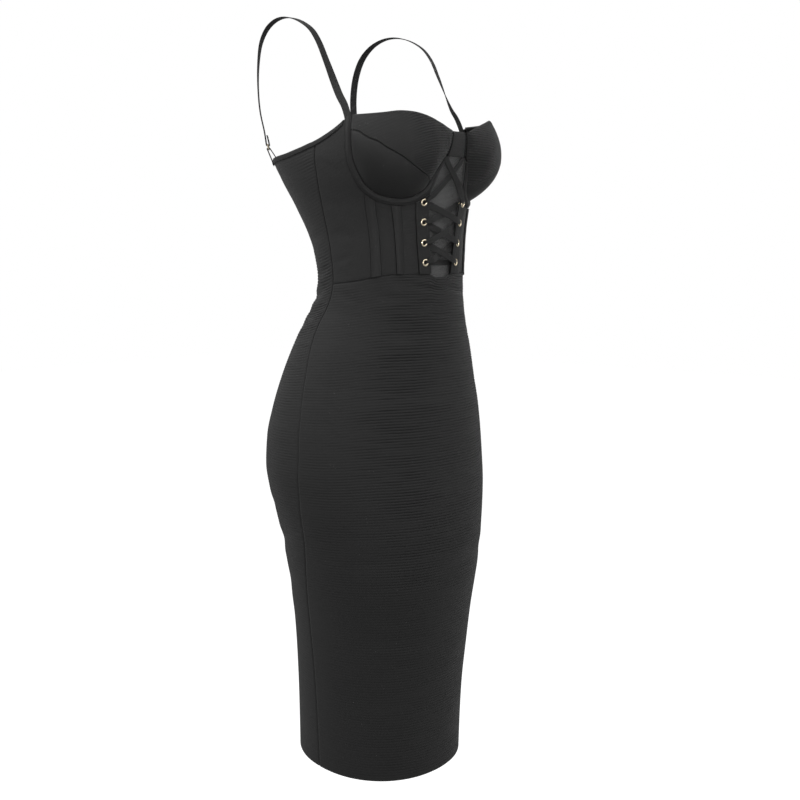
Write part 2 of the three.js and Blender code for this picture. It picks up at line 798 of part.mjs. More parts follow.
function smoothPoints(points, count) {
  const curve = new THREE.CatmullRomCurve3(points, false, "centripetal");
  return evenSteps(count).map((t) => curve.getPointAt(t));
}

// Stations at given points, flat across the direction given for each.
function stationsAt(points, across) {
  const last = points.length - 1;
  return points.map((at, i) => {
    const run = points[Math.min(last, i + 1)].clone().sub(points[Math.max(0, i - 1)]).normalize();
    const wide = across(i);
    const side = wide.addScaledVector(run, -wide.dot(run)).normalize();
    return { at, side, out: run.clone().cross(side).normalize() };
  });
}

const RING_CENTRE = new THREE.Vector3(-95, 53.5, -170.5);
const RING_BAR = 3.3;           // distance from the middle of the ring to each of its long bars

function flatSection(width, wall) {
  return [[-width / 2, -wall / 2], [width / 2, -wall / 2], [width / 2, wall / 2], [-width / 2, wall / 2]];
}

function ringFrame() {
  const out = formNormal(angleOf(new THREE.Vector3(-95, 45, -190)), -190);
  const side = new THREE.Vector3(0, 0, 1).cross(out).normalize();
  const up = out.clone().cross(side).normalize();
  return { out, side, up };
}

function foldRound(frame, height, direction) {
  const turn = 2.05;
  return evenSteps(6).map((t) => {
    const swing = Math.PI * t;
    return RING_CENTRE.clone().addScaledVector(frame.up, height - direction * turn * Math.sin(swing))
      .addScaledVector(frame.out, turn * Math.cos(swing));
  });
}

// Foot of the strap, sewn behind the casing.
function strapFoot() {
  return STRAP_FOOT.shares.map((along) => {
    const at = besideWire(along, STRAP_FOOT.shift);
    return bodyPoint(at.x, at.y, STRAP_FOOT.depth);
  });
}

// Across the strap: flat on the body at its foot, turned a little outwards on the shoulder and
// square to the ring at the back.
function strapAcross(share, frame) {
  const foot = underwireCurve.getPoint(0);
  const flat = new THREE.Vector3(0, 0, 1).cross(formNormal(foot.x, foot.y)).negate();
  const shoulder = new THREE.Vector3(-0.97, 0.22, 0);
  const onShoulder = flat.lerp(shoulder, THREE.MathUtils.smoothstep(share, 0.06, 0.3));
  return onShoulder.lerp(frame.side, THREE.MathUtils.smoothstep(share, 0.4, 0.85));
}

function buildStrap() {
  const frame = ringFrame();
  const fold = foldRound(frame, RING_BAR, 1);
  const end = fold[6].clone().addScaledVector(frame.up, 13).addScaledVector(frame.out, 0.2);
  const shoulder = STRAP_PATH.map((row) => new THREE.Vector3(row.x, row.y, row.z));
  const over = smoothPoints([...strapFoot(), ...shoulder, fold[0]], 32);
  const path = [...over.slice(0, -1), ...fold, end];
  const last = over.length - 1;
  const across = (i) => strapAcross(Math.min(1, i / last), frame);
  return sweepSection(stationsAt(path, across), flatSection(STRAP_WIDTH, STRAP_WALL));
}

// Short loop that holds the ring to the back.
function buildRingTab() {
  const frame = ringFrame();
  const fold = foldRound(frame, -RING_BAR, -1);
  const foot = (lift, drop) => bodyPoint(angleOf(new THREE.Vector3(-95, 45, -190)), -190 - drop, lift);
  const path = [foot(2.3, 6), foot(2.3, 1), ...fold, foot(-4.8, -1), foot(-4.8, 6)];
  return sweepSection(stationsAt(path, () => frame.side.clone()), flatSection(STRAP_WIDTH, 1));
}

function roundedRectangle(width, height, corner) {
  const shape = new THREE.Shape();
  const x = width / 2 - corner;
  const y = height / 2 - corner;
  shape.absarc(x, y, corner, 0, Math.PI / 2);
  shape.absarc(-x, y, corner, Math.PI / 2, Math.PI);
  shape.absarc(-x, -y, corner, Math.PI, 1.5 * Math.PI);
  shape.absarc(x, -y, corner, 1.5 * Math.PI, 2 * Math.PI);
  shape.closePath();
  return shape;
}

function placed(geometry, frame, centre) {
  const matrix = new THREE.Matrix4().makeBasis(frame.side, frame.up, frame.out).setPosition(centre);
  return facingOut(mergeVertices(stripped(geometry).applyMatrix4(matrix), 1e-4));
}

function stripped(geometry) {
  const bare = new THREE.BufferGeometry();
  bare.setAttribute("position", geometry.getAttribute("position").clone());
  if (geometry.getIndex()) {
    bare.setIndex(geometry.getIndex().clone());
  }
  return mergeVertices(bare, 1e-4);
}

function buildRing() {
  const wall = 1.5;
  const shape = roundedRectangle(15, 2 * RING_BAR + wall, 1.8);
  shape.holes.push(roundedRectangle(11.4, 2 * RING_BAR - wall, 0.8));
  const body = new THREE.ExtrudeGeometry(shape, { depth: wall, bevelEnabled: false, curveSegments: 3 });
  body.translate(0, 0, -wall / 2);
  return placed(body, ringFrame(), RING_CENTRE);
}

// Eyelets, their holes and the lace.

function eyeletFrame(eyelet, sign) {
  const angle = frontAngle(sign * eyelet.x, eyelet.z);
  const out = formNormal(angle, eyelet.z);
  const side = new THREE.Vector3(0, 0, 1).cross(out).negate().normalize();
  return { angle, out, side, up: out.clone().cross(side).normalize(), at: formPoint(angle, eyelet.z) };
}

function buildEyelet(eyelet, sign) {
  const face = TRIM + 2.5 * SEAM_GAP;
  const back = -CLOTH - SEAM_GAP;
  const hole = EYELET_HOLE;
  const barrel = hole + 0.6;
  const profile = [
    [hole, back - 0.5], [EYELET_RADIUS - 0.4, back - 0.5], [EYELET_RADIUS - 0.4, back], [barrel, back],
    [barrel, face], [EYELET_RADIUS, face], [EYELET_RADIUS - 1, face + 0.8], [hole, face + 0.5],
    [hole, back - 0.5],
  ].map(([x, y]) => new THREE.Vector2(x, y));
  const body = new THREE.LatheGeometry(profile, 12).rotateX(Math.PI / 2);
  const frame = eyeletFrame(eyelet, sign);
  return placed(body, frame, frame.at);
}

const lib = await Module();
lib.setup();

function toSolid(geometry) {
  const merged = mergeVertices(stripped(geometry), 1e-4);
  return new lib.Manifold(new lib.Mesh({
    numProp: 3,
    vertProperties: new Float32Array(merged.getAttribute("position").array),
    triVerts: new Uint32Array(merged.getIndex().array),
  }));
}

function fromSolid(solid) {
  const mesh = solid.getMesh();
  const geometry = new THREE.BufferGeometry();
  geometry.setAttribute("position", new THREE.Float32BufferAttribute(mesh.vertProperties, 3));
  geometry.setIndex([...mesh.triVerts]);
  geometry.computeVertexNormals();
  return geometry;
}

function punched(geometry) {
  let solid = toSolid(geometry);
  for (const eyelet of EYELETS) {
    const frame = eyeletFrame(eyelet, -1);
    const radius = EYELET_HOLE + 0.95;
    const pin = new THREE.CylinderGeometry(radius, radius, 12, 9).rotateX(Math.PI / 2);
    solid = solid.subtract(toSolid(placed(pin, frame, frame.at)));
  }
  return fromSolid(solid);
}

const LACE_OVER = 3.5;          // height of the lace over a placket, and its depth under one
const LACE_UNDER = -3.1;

function lacePoint(x, z, depth) {
  return { at: bodyPoint(frontAngle(x, z), z, depth), out: formNormal(frontAngle(x, z), z) };
}

// One crossing: from behind one placket to the face of the other and down its eyelet.
function laceCrossing(from, to, sign, middleDepth) {
  const along = (t) => ({
    x: THREE.MathUtils.lerp(-sign * from.x, sign * to.x, t),
    z: THREE.MathUtils.lerp(from.z, to.z, t),
  });
  const reach = Math.abs(from.x) + Math.abs(to.x);
  const steps = [
    { t: 2.2 / reach, depth: LACE_UNDER - 0.3, width: LACE_NECK },
    { t: 7 / reach, depth: LACE_UNDER, width: LACE_WIDTH },
    { t: 0.34, depth: middleDepth - 1, width: LACE_WIDTH },
    { t: 0.5, depth: middleDepth, width: LACE_WIDTH },
    { t: 0.66, depth: middleDepth + 1.2, width: LACE_WIDTH },
    { t: 1 - 11.5 / reach, depth: LACE_OVER + 0.2, width: LACE_WIDTH },
    { t: 1 - 6.4 / reach, depth: LACE_OVER + 0.2, width: LACE_WIDTH * 0.8 },
    { t: 1 - 2 / reach, depth: LACE_OVER, width: LACE_NECK },
  ];
  const stations = steps.map((step) => {
    const spot = along(step.t);
    return { ...lacePoint(spot.x, spot.z, step.depth), width: step.width };
  });
  return [...stations, ...throughEyelet(to, sign)];
}

function throughEyelet(eyelet, sign) {
  return [0.8, -1.4].map((depth) => ({
    ...lacePoint(sign * (eyelet.x - 0.5), eyelet.z, depth), width: LACE_NECK, sunk: true,
  }));
}

function laceStart(sign) {
  return [
    { ...lacePoint(-sign * 20, -186, -2.7), width: LACE_WIDTH },
    { ...lacePoint(-sign * 17.5, -195, -2.4), width: LACE_WIDTH },
  ];
}

function laceHalf(startSign, order, middles) {
  const stations = [];
  let sign = startSign;
  let from = { x: 15.5, z: -199 };
  order.forEach((level, i) => {
    const to = EYELETS[level];
    if (i === 0) {
      stations.push(...laceStart(sign), ...firstRun(from, to, sign, middles[0]));
    } else {
      stations.push(...laceCrossing(from, to, sign, middles[i]));
    }
    from = to;
    sign = -sign;
  });
  return stations;
}

function firstRun(from, to, sign, middleDepth) {
  const steps = [
    { t: 0.3, depth: middleDepth, width: LACE_WIDTH },
    { t: 0.55, depth: middleDepth + 1.4, width: LACE_WIDTH },
    { t: 0.84, depth: LACE_OVER + 0.3, width: LACE_WIDTH * 0.85 },
    { t: 0.975, depth: LACE_OVER, width: LACE_NECK },
  ];
  const stations = steps.map((step) => {
    const x = THREE.MathUtils.lerp(-sign * from.x, sign * to.x, step.t);
    const z = THREE.MathUtils.lerp(from.z, to.z, step.t);
    return { ...lacePoint(x, z, step.depth), width: step.width };
  });
  return [...stations, ...throughEyelet(to, sign)];
}

function buildLace() {
  const over = laceHalf(1, [0, 1, 2, 3], [2.2, -0.9, -0.9, -0.9]);
  const under = laceHalf(-1, [0, 1, 2, 3], [0.2, 1.1, 1.1, 1.1]);
  const last = EYELETS[3];
  const bar = [-0.93, -0.78, -0.4, 0.4, 0.78, 0.93].map((t) => ({
    ...lacePoint(t * last.x, last.z, LACE_UNDER - 0.3),
    width: Math.abs(t) > 0.8 ? LACE_NECK : LACE_WIDTH * 0.75,
  }));
  const stations = [...over, ...bar, ...under.reverse()];
  return tapeThrough(stations);
}

// Flat tape through stations of varying width, with its width held upright along the eyelets.
function tapeThrough(stations) {
  const upright = new THREE.Vector3(0, 0, 1);
  const shaped = stations.map((station, i) => {
    const before = stations[Math.max(0, i - 1)].at;
    const after = stations[Math.min(stations.length - 1, i + 1)].at;
    const run = after.clone().sub(before).normalize();
    const flat = station.out.clone().cross(run);
    const side = station.sunk ? upright.clone().addScaledVector(run, -upright.dot(run)) : flat;
    side.multiplyScalar(Math.sign(side.z)).normalize();
    const stretch = station.width / LACE_WIDTH;
    return { at: station.at, side, out: run.clone().cross(side).normalize(), stretch };
  });
  return sweepSection(shaped, flatSection(LACE_WIDTH, LACE_WALL));
}

// Zip at the centre back.

// Strip at the centre back; its rows are those of the back panels.
function backStrip(half, topZ, lowest, depths) {
  const inner = centreBackLevels().filter((z) => z < topZ - 4);
  const heights = [...inner.slice(-1 - inner.filter((z) => z > ZIP_BOTTOM).length + lowest), topZ];
  const side = (sign) => byRows(heights.map((z) => place(backAngle(sign * half, z), z)));
  const left = side(1);
  const right = side(-1);
  return clothPatch({
    left,
    right,
    bottom: runThrough([left(0), right(0)]),
    top: runThrough([left(1), right(1)]),
  }, 2, heights.length - 1, () => depths);
}

const SLIDER_Z = -213;

function zipFrame() {
  const out = formNormal(-180, SLIDER_Z);
  const side = new THREE.Vector3(-1, 0, 0);
  return { out, side, up: out.clone().cross(side).normalize(), at: formPoint(-180, SLIDER_Z) };
}

function block(width, low, high, near, far) {
  const body = new THREE.BoxGeometry(width, high - low, far - near);
  return body.translate(0, (low + high) / 2, (near + far) / 2);
}

function buildSlider() {
  const shape = roundedRectangle(8.4, 11, 2);
  const base = new THREE.ExtrudeGeometry(shape, { depth: 1.9, bevelEnabled: false, curveSegments: 4 });
  const parts = [
    base.translate(0, 0, 0.7),
    block(2, 3.8, 5, 2.2, 5.8),
    block(2, -4, -2.9, 2.2, 5.8),
    block(2, -4, 5, 4.8, 5.8),
  ];
  const solid = parts.map(toSolid).reduce((whole, part) => whole.add(part));
  const frame = zipFrame();
  return placed(fromSolid(solid), frame, frame.at);
}

const HINGE = { up: 1.5, out: 3.7 };

function hingePoint() {
  const frame = zipFrame();
  return frame.at.clone().addScaledVector(frame.up, HINGE.up).addScaledVector(frame.out, HINGE.out);
}

// Pull tab, hung plumb from the bar under the slider's arch.
function buildPullTab() {
  const shape = new THREE.Shape();
  shape.moveTo(-3, 0.6);
  shape.lineTo(-3, -7);
  shape.lineTo(-3.6, -16);
  shape.absarc(0, -17, 3.6, Math.PI, 2 * Math.PI);
  shape.lineTo(3, -7);
  shape.lineTo(3, 0.6);
  shape.closePath();
  const eye = new THREE.Path();
  eye.moveTo(-1.6, -0.6);
  eye.lineTo(1.6, -0.6);
  eye.lineTo(1.6, -7.2);
  eye.lineTo(-1.6, -7.2);
  eye.closePath();
  shape.holes.push(eye);
  const body = new THREE.ExtrudeGeometry(shape, { depth: 1.2, bevelEnabled: false, curveSegments: 8 });
  body.translate(0, 0, -0.6);
  const frame = {
    side: new THREE.Vector3(-1, 0, 0), up: new THREE.Vector3(0, 0, 1), out: new THREE.Vector3(0, 1, 0),
  };
  return placed(body, frame, hingePoint());
}

addPiece("front_skirt", buildFrontSkirt(), KNIT);
addPair("back_panel", buildBackPanel(), KNIT);
addPair("side_front_panel", buildSideFront(), KNIT);
addPair("front_panel", buildFrontPanel(), KNIT);
addPair("centre_front_panel", punched(buildCentrePanel()), KNIT);
for (const channel of CHANNELS) {
  addPair(`${channel.name}_bone_channel`, raisedStrip(channel), SMOOTH);
}
addPair("eyelet_placket", punched(buildPlacket()), SMOOTH);
addPair("lower_cup", buildLowerCup(), SMOOTH);
addPair("upper_cup", buildUpperCup(), KNIT);
addPair("underwire_casing", buildCasing(), SMOOTH);
addPiece("centre_bridge", buildBridge(), KNIT);
addPiece("sheer_panel", buildSheerPanel(), MESH);
addPair("top_binding", buildBinding(), SMOOTH);
addPair("strap", buildStrap(), TAPE);
addPair("strap_ring", buildRing(), GOLD);
addPair("strap_tab", buildRingTab(), TAPE);
EYELETS.forEach((eyelet, i) => {
  addPiece(`right_eyelet_${i + 1}`, buildEyelet(eyelet, -1), GOLD);
  addPiece(`left_eyelet_${i + 1}`, buildEyelet(eyelet, 1), GOLD);
});
addPiece("lace", buildLace(), TAPE);
addPiece("zip_tape", backStrip(12, ZIP_TOP, 0, { outer: -2.1, inner: -3.1 }), TAPE);
addPiece("zip_teeth", backStrip(2.2, ZIP_TOP, 1, { outer: 0.1, inner: -1.5 }), GOLD);
addPiece("zip_slider", buildSlider(), GOLD);
addPiece("zip_pull_tab", buildPullTab(), GOLD);

export default dress;
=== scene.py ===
import json
import math

import bpy
import numpy as np
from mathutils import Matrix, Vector

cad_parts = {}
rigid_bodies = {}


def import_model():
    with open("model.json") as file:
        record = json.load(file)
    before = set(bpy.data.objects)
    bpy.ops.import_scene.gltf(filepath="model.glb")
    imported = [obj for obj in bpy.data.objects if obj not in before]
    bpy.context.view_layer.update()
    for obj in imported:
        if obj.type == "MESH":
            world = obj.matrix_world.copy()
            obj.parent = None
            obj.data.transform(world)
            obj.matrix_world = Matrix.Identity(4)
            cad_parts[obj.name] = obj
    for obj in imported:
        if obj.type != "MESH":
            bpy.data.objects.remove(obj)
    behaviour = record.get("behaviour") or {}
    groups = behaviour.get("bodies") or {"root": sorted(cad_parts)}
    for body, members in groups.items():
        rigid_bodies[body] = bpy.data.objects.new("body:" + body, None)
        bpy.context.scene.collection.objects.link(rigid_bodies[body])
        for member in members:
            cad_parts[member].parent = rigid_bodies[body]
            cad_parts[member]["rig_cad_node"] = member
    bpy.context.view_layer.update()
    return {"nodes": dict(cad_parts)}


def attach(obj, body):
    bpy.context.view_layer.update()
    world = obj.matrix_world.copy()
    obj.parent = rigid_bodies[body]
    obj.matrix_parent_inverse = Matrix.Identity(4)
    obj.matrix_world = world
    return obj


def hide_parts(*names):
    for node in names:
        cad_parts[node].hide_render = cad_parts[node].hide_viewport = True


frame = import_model()
print("stage: frame loaded")

# Lengths below are in millimetres, and addPiece turns them into metres.
# Up is Z, the front of the dress looks along -Y and the wearer's right is at -X.

toMetres = 0.001
studio = {
    "formCentre": (0, -112), "distance": 1800, "azimuth": -49, "eyeHeight": -316, "pitch": 6.735,
    "focalPixels": 1270, "framePixels": 800, "floor": -1420, "floorHalf": 9, "floorGlow": 0.86, "sky": 0.43,
}
# Panels overlap by a hair at their seams, so that no light comes through.
cloth = {"wall": 1.5, "cupWall": 3, "seamGap": -0.08, "lift": 0.3, "seamRoll": 1.0, "rollReach": 1.5}
ribs = {"valley": 0.15, "shade": 1.0, "deepest": 0.75, "seamShadeOffset": 0.5, "phases": (0, 0.2, 0.5, 0.8)}
# Each vertex of cloth says how far across and up it lies, and a shading distance: small in seams and in rib
# valleys, where painted shade darkens the cloth and takes away its sheen. These are in metres.
seamShadow = {"dark": 0.0007, "clear": 0.0015, "dull": 0.0001, "lit": 0.0006, "leastLit": 0.2}
clearCloth = 1.5
bothSides = (("right", False), ("left", True))


def table(columns, rows):
    return {name: np.array([row[i] for row in rows], float) for i, name in enumerate(columns.split())}


formRings = table("z half front back square", [
    (-126, 122, -216, 74, 2.35), (-166, 135, -218, 78, 2.35), (-191, 137, -213, 72, 2.35),
    (-216, 134, -205, 58, 2.3), (-256, 125, -194, 36, 2.1), (-296, 118, -190, 13, 2.05),
    (-316, 116.5, -188.5, 3.5, 2.05), (-356, 115, -186.5, -5, 2.05), (-376, 117, -186, -3.5, 2.05),
    (-396, 121, -185, 3, 2.1), (-416, 128.5, -184, 12.8, 2.15), (-456, 144, -187, 30, 2.15),
    (-496, 156, -189.6, 44.6, 2.15), (-536, 165.7, -194.4, 56.6, 2.15), (-576, 172, -197.6, 65.4, 2.15),
    (-616, 174, -200.6, 67.4, 2.15), (-656, 170, -204.6, 61, 2.15), (-716, 158, -206.6, 46.2, 2.15),
    (-776, 148, -203.4, 39.4, 2.15), (-836, 138.5, -195.8, 35, 2.15), (-896, 132.6, -189.4, 33.4, 2.15),
    (-956, 128, -183.7, 33.4, 2.15), (-1016, 126, -180.8, 33.2, 2.15), (-1076, 125, -179, 33, 2.15),
])
sideSeam = table("z angle", [
    (-172, -87.4), (-243, -88.6), (-316, -92.4), (-362, -92.6), (-417, -94.5), (-488, -89.3),
    (-597, -84.9), (-696, -90.5), (-822, -97), (-921, -94.6), (-1046, -91.8),
])
topEdge = table("angle z", [
    (-180, -196), (-160, -194), (-135, -190), (-110, -187), (-95, -180), (-87.4, -172),
    (-79.5, -161), (-74.3, -151), (-71, -141),
])
waistSeam = table("angle z", [
    (-92.6, -362), (-75, -359), (-61.5, -355), (-49.7, -351), (-35, -349), (0, -349),
])
underwire = table("angle z", [
    (-70.1, -142), (-67.5, -186), (-64.7, -209), (-59.4, -230), (-53.6, -241.5), (-47.3, -248.5),
    (-37.6, -252.5), (-27.5, -251), (-19, -242.4), (-14.2, -231.5), (-11, -216), (-7.4, -197),
    (-5.7, -181), (-4.6, -158.5),
])
neckline = table("x y z", [
    (-119, -134, -139), (-116.5, -152, -139), (-110, -177, -138.4), (-97, -196, -136.4),
    (-78, -207.5, -137.4), (-60, -215, -142), (-42, -217.5, -148), (-19, -219, -157),
])
edges = {
    "waistBack": -352, "hem": -1045.6, "hemRise": 0.139, "zipBottom": -500, "zipTop": -204, "zipHalf": 3.2,
    "sideWaist": -92, "sideTop": -87.4,
}


# Smooth curve through the rows of a table, which never overshoots them.
def readTable(rows, key, column, at):
    order = np.argsort(rows[key])
    x = rows[key][order]
    y = rows[column][order]
    slope = np.diff(y) / np.diff(x)
    total = slope[:-1] + slope[1:]
    both = slope[:-1] * slope[1:]
    turning = np.where(both > 0, 2 * both / np.where(total == 0, 1, total), 0)
    tangent = np.concatenate(([slope[0]], turning, [slope[-1]]))
    at = np.asarray(at, float)
    i = np.clip(np.searchsorted(x, at) - 1, 0, len(x) - 2)
    span = x[i + 1] - x[i]
    t = np.clip((at - x[i]) / span, 0, 1)
    bend = t * (1 - t) * span
    rise = t * t * (3 - 2 * t)
    return y[i] + (y[i + 1] - y[i]) * rise + bend * ((1 - t) * tangent[i] - t * tangent[i + 1])


def signedPower(value, power):
    return np.sign(value) * np.abs(value) ** power


def unit(vectors):
    return vectors / np.maximum(np.linalg.norm(vectors, axis=-1, keepdims=True), 1e-12)


def mix(a, b, t):
    return a + (b - a) * t


def smoothStep(value, low, high):
    t = np.clip((value - low) / (high - low), 0, 1)
    return t * t * (3 - 2 * t)


def ringAt(z):
    front = readTable(formRings, "z", "front", z)
    back = readTable(formRings, "z", "back", z)
    half = readTable(formRings, "z", "half", z)
    return half, (front + back) / 2, (back - front) / 2, readTable(formRings, "z", "square", z)


# Point of the form at an angle round from the front, in degrees, and at a height.
def formPoint(angle, z):
    angle, z = np.broadcast_arrays(np.asarray(angle, float), np.asarray(z, float))
    half, middle, deep, square = ringAt(z)
    turn = np.radians(angle)
    x = half * signedPower(np.sin(turn), 2 / square)
    y = middle - deep * signedPower(np.cos(turn), 2 / square)
    return np.stack((x, y, z), -1)


def formNormal(angle, z):
    angle = np.asarray(angle, float)
    z = np.asarray(z, float)
    across = formPoint(angle + 1, z) - formPoint(angle - 1, z)
    up = formPoint(angle, z + 2) - formPoint(angle, z - 2)
    return unit(np.cross(across, up))


def bodyPoint(angle, z, depth=0):
    return formPoint(angle, z) + formNormal(angle, z) * np.asarray(depth)[..., None]


# Angle at which a point lies, and below it the angle at which the form is x aside.
def angleOf(points):
    half, middle, deep, square = ringAt(points[..., 2])
    sine = signedPower(points[..., 0] / half, square / 2)
    cosine = signedPower((middle - points[..., 1]) / deep, square / 2)
    return np.degrees(np.arctan2(sine, cosine))


def frontAngle(x, z):
    half, _, _, square = ringAt(z)
    return np.degrees(np.arcsin(signedPower(x / half, square / 2)))


def backAngle(x, z):
    return -180 - frontAngle(x, z)


# How many degrees make this distance at a height.
def degreesFor(distance, angle, z):
    step = formPoint(angle + 0.5, z) - formPoint(angle - 0.5, z)
    return distance / np.linalg.norm(step, axis=-1)


def placesOf(angle, z):
    return np.stack(np.broadcast_arrays(np.asarray(angle, float), np.asarray(z, float)), -1)


def reachAlong(points):
    return np.concatenate(([0], np.cumsum(np.linalg.norm(np.diff(points, axis=0), axis=1))))


# How far along and how far up a grid of points each of them lies.
def gridReach(points):
    along = np.linalg.norm(np.diff(points, axis=1, prepend=points[:, :1]), axis=2)
    up = np.linalg.norm(np.diff(points, axis=0, prepend=points[:1]), axis=2)
    return np.cumsum(along, axis=1), np.cumsum(up, axis=0)


def atReach(goal, reach, rows):
    return np.stack([np.interp(goal, reach, rows[:, k]) for k in range(rows.shape[1])], -1)


# Even run through places on the form, from 0 at the first to 1 at the last.
def runThrough(places):
    reach = reachAlong(formPoint(places[:, 0], places[:, 1]))
    return lambda t: atReach(np.asarray(t, float) * reach[-1], reach, places)


# Four edges of a piece; where no run is given, its foot or top is straight.
def fourSides(left, right, bottom=None, top=None):
    return {
        "left": left, "right": right,
        "bottom": bottom or runThrough(np.stack((left(0), right(0)))),
        "top": top or runThrough(np.stack((left(1), right(1)))),
    }


# A piece of cloth between four edges: each edge gives places (angle, height) on the form.
def clothPlaces(sides, s, t):
    left, right = sides["left"](t)[:, None], sides["right"](t)[:, None]
    bottom, top = sides["bottom"](s)[None], sides["top"](s)[None]
    across, up = s[None, :, None], t[:, None, None]
    corner = {k: (sides["left"](np.array(k)), sides["right"](np.array(k))) for k in (0, 1)}
    low = mix(corner[0][0], corner[0][1], across)
    high = mix(corner[1][0], corner[1][1], across)
    return mix(left, right, across) + mix(bottom, top, up) - mix(low, high, up)


def sideSeamAngle(z, shift):
    angle = readTable(sideSeam, "z", "angle", z)
    return angle + degreesFor(shift, angle, z)


def topEdgeHeight(angle):
    return readTable(topEdge, "angle", "z", angle)


def waistHeight(angle):
    return readTable(waistSeam, "angle", "z", -np.abs(angle))


# The hem drops a little towards the front.
def hemHeight(angle):
    side = formPoint(-90, edges["hem"])[1]
    return edges["hem"] + edges["hemRise"] * (formPoint(angle, edges["hem"])[..., 1] - side)


# Cubic from one row to the next that leaves and arrives at the slopes given.
def eased(here, after, leave, arrive, w):
    return ((2 * here - 2 * after + leave + arrive) * w ** 3
            + (3 * after - 3 * here - 2 * leave - arrive) * w ** 2 + leave * w + here)


def curveThrough(rows, t):
    last = len(rows) - 1
    p = np.clip(np.asarray(t, float), 0, 1) * last
    i = np.minimum(np.floor(p).astype(int), last - 1)
    before, here = rows[np.maximum(i - 1, 0)], rows[i]
    after, beyond = rows[i + 1], rows[np.minimum(i + 2, last)]
    return eased(here, after, (after - before) / 2, (beyond - here) / 2, (p - i)[..., None])


underwirePlaces = placesOf(underwire["angle"], underwire["z"])


# Place beside the underwire; a positive shift lies towards the middle of the cup.
def besideWire(along, shift):
    along = np.asarray(along, float)
    here = curveThrough(underwirePlaces, along)
    before = curveThrough(underwirePlaces, along - 0.01)
    after = curveThrough(underwirePlaces, along + 0.01)
    run = unit(formPoint(after[..., 0], after[..., 1]) - formPoint(before[..., 0], before[..., 1]))
    side = unit(np.cross(formNormal(here[..., 0], here[..., 1]), run))
    point = formPoint(here[..., 0], here[..., 1]) + side * np.asarray(shift)[..., None]
    return placesOf(angleOf(point), point[..., 2])


def wireShareAt(angle, shift):
    share = np.linspace(0, 1, 401)
    at = besideWire(share, shift)
    miss = np.where(at[:, 1] < underwire["z"][3], np.abs(at[:, 0] - angle), np.inf)
    return share[np.argmin(miss)]


# Smooth unevenness between -1 and 1, the same on each run.
def softNoise(x, y, seed):
    size = 64
    lattice = np.random.default_rng(seed).uniform(-1, 1, (size, size))
    xi, yi = np.floor(x).astype(int), np.floor(y).astype(int)
    fx, fy = smoothStep(x - xi, 0, 1), smoothStep(y - yi, 0, 1)
    low = mix(lattice[xi % size, yi % size], lattice[(xi + 1) % size, yi % size], fx)
    high = mix(lattice[xi % size, (yi + 1) % size], lattice[(xi + 1) % size, (yi + 1) % size], fx)
    return mix(low, high, fy)


def addToScene(name, data):
    thing = bpy.data.objects.new(name, data)
    bpy.context.scene.collection.objects.link(thing)
    return thing


def addPiece(name, points, faces, material, nodes=(), clothAt=None, sharp=55):
    mesh = bpy.data.meshes.new(name)
    mesh.from_pydata((np.asarray(points) * toMetres).tolist(), [], faces)
    mesh.validate()
    if clothAt is not None:
        layer = mesh.attributes.new("cloth", "FLOAT_VECTOR", "POINT")
        layer.data.foreach_set("vector", (clothAt * toMetres).astype(np.float32).ravel())
    mesh.materials.append(material)
    mesh.shade_smooth()
    mesh.set_sharp_from_angle(angle=math.radians(sharp))
    piece = addToScene(name, mesh)
    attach(piece, "dress")
    if nodes:
        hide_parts(*nodes)
    return piece


# Closed wall between an outer grid and an inner one that has every rowStep-th row.
def wallFaces(rows, columns, rowStep):
    inner = rows * columns
    faces = []
    add = faces.append
    for r in range(rows - 1):
        base = r * columns
        for a in range(base, base + columns - 1):
            add((a, a + 1, a + columns + 1, a + columns))
    innerRows = (rows - 1) // rowStep + 1
    for r in range(innerRows - 1):
        base = inner + r * columns
        for a in range(base, base + columns - 1):
            add((a, a + columns, a + columns + 1, a + 1))
    top = (rows - 1) * columns
    innerTop = inner + (innerRows - 1) * columns
    for c in range(columns - 1):
        add((inner + c, inner + c + 1, c + 1, c))
        add((top + c, top + c + 1, innerTop + c + 1, innerTop + c))
    end = columns - 1
    for r in range(innerRows - 1):
        low = inner + r * columns
        column = [(r * rowStep + k) * columns for k in range(rowStep + 1)]
        add((low, *column, low + columns))
        add((low + columns + end, *[a + end for a in reversed(column)], low + end))
    return faces


# The same wall without some of its cells, such as where an eyelet goes through.
def piercedFaces(rows, columns, keep):
    index = np.arange(rows * columns).reshape(rows, columns)
    back = rows * columns
    quads = np.stack((index[:-1, :-1], index[:-1, 1:], index[1:, 1:], index[1:, :-1]), -1)[keep].tolist()
    rims = {(q[k], q[(k + 1) % 4]) for q in quads for k in range(4)}
    faces = [tuple(q) for q in quads]
    faces += [tuple(v + back for v in reversed(q)) for q in quads]
    return faces + [(b, a, a + back, b + back) for a, b in rims if (b, a) not in rims]


# Whether a grid of quads faces away from the inner side.
def pointsTowards(outer, inner):
    r, c = outer.shape[0] // 2, outer.shape[1] // 2
    across = outer[r, min(c + 1, outer.shape[1] - 1)] - outer[r, max(c - 1, 0)]
    up = outer[min(r + 1, outer.shape[0] - 1), c] - outer[max(r - 1, 0), c]
    return np.dot(np.cross(across, up), outer[r, c] - inner[r, c]) > 0


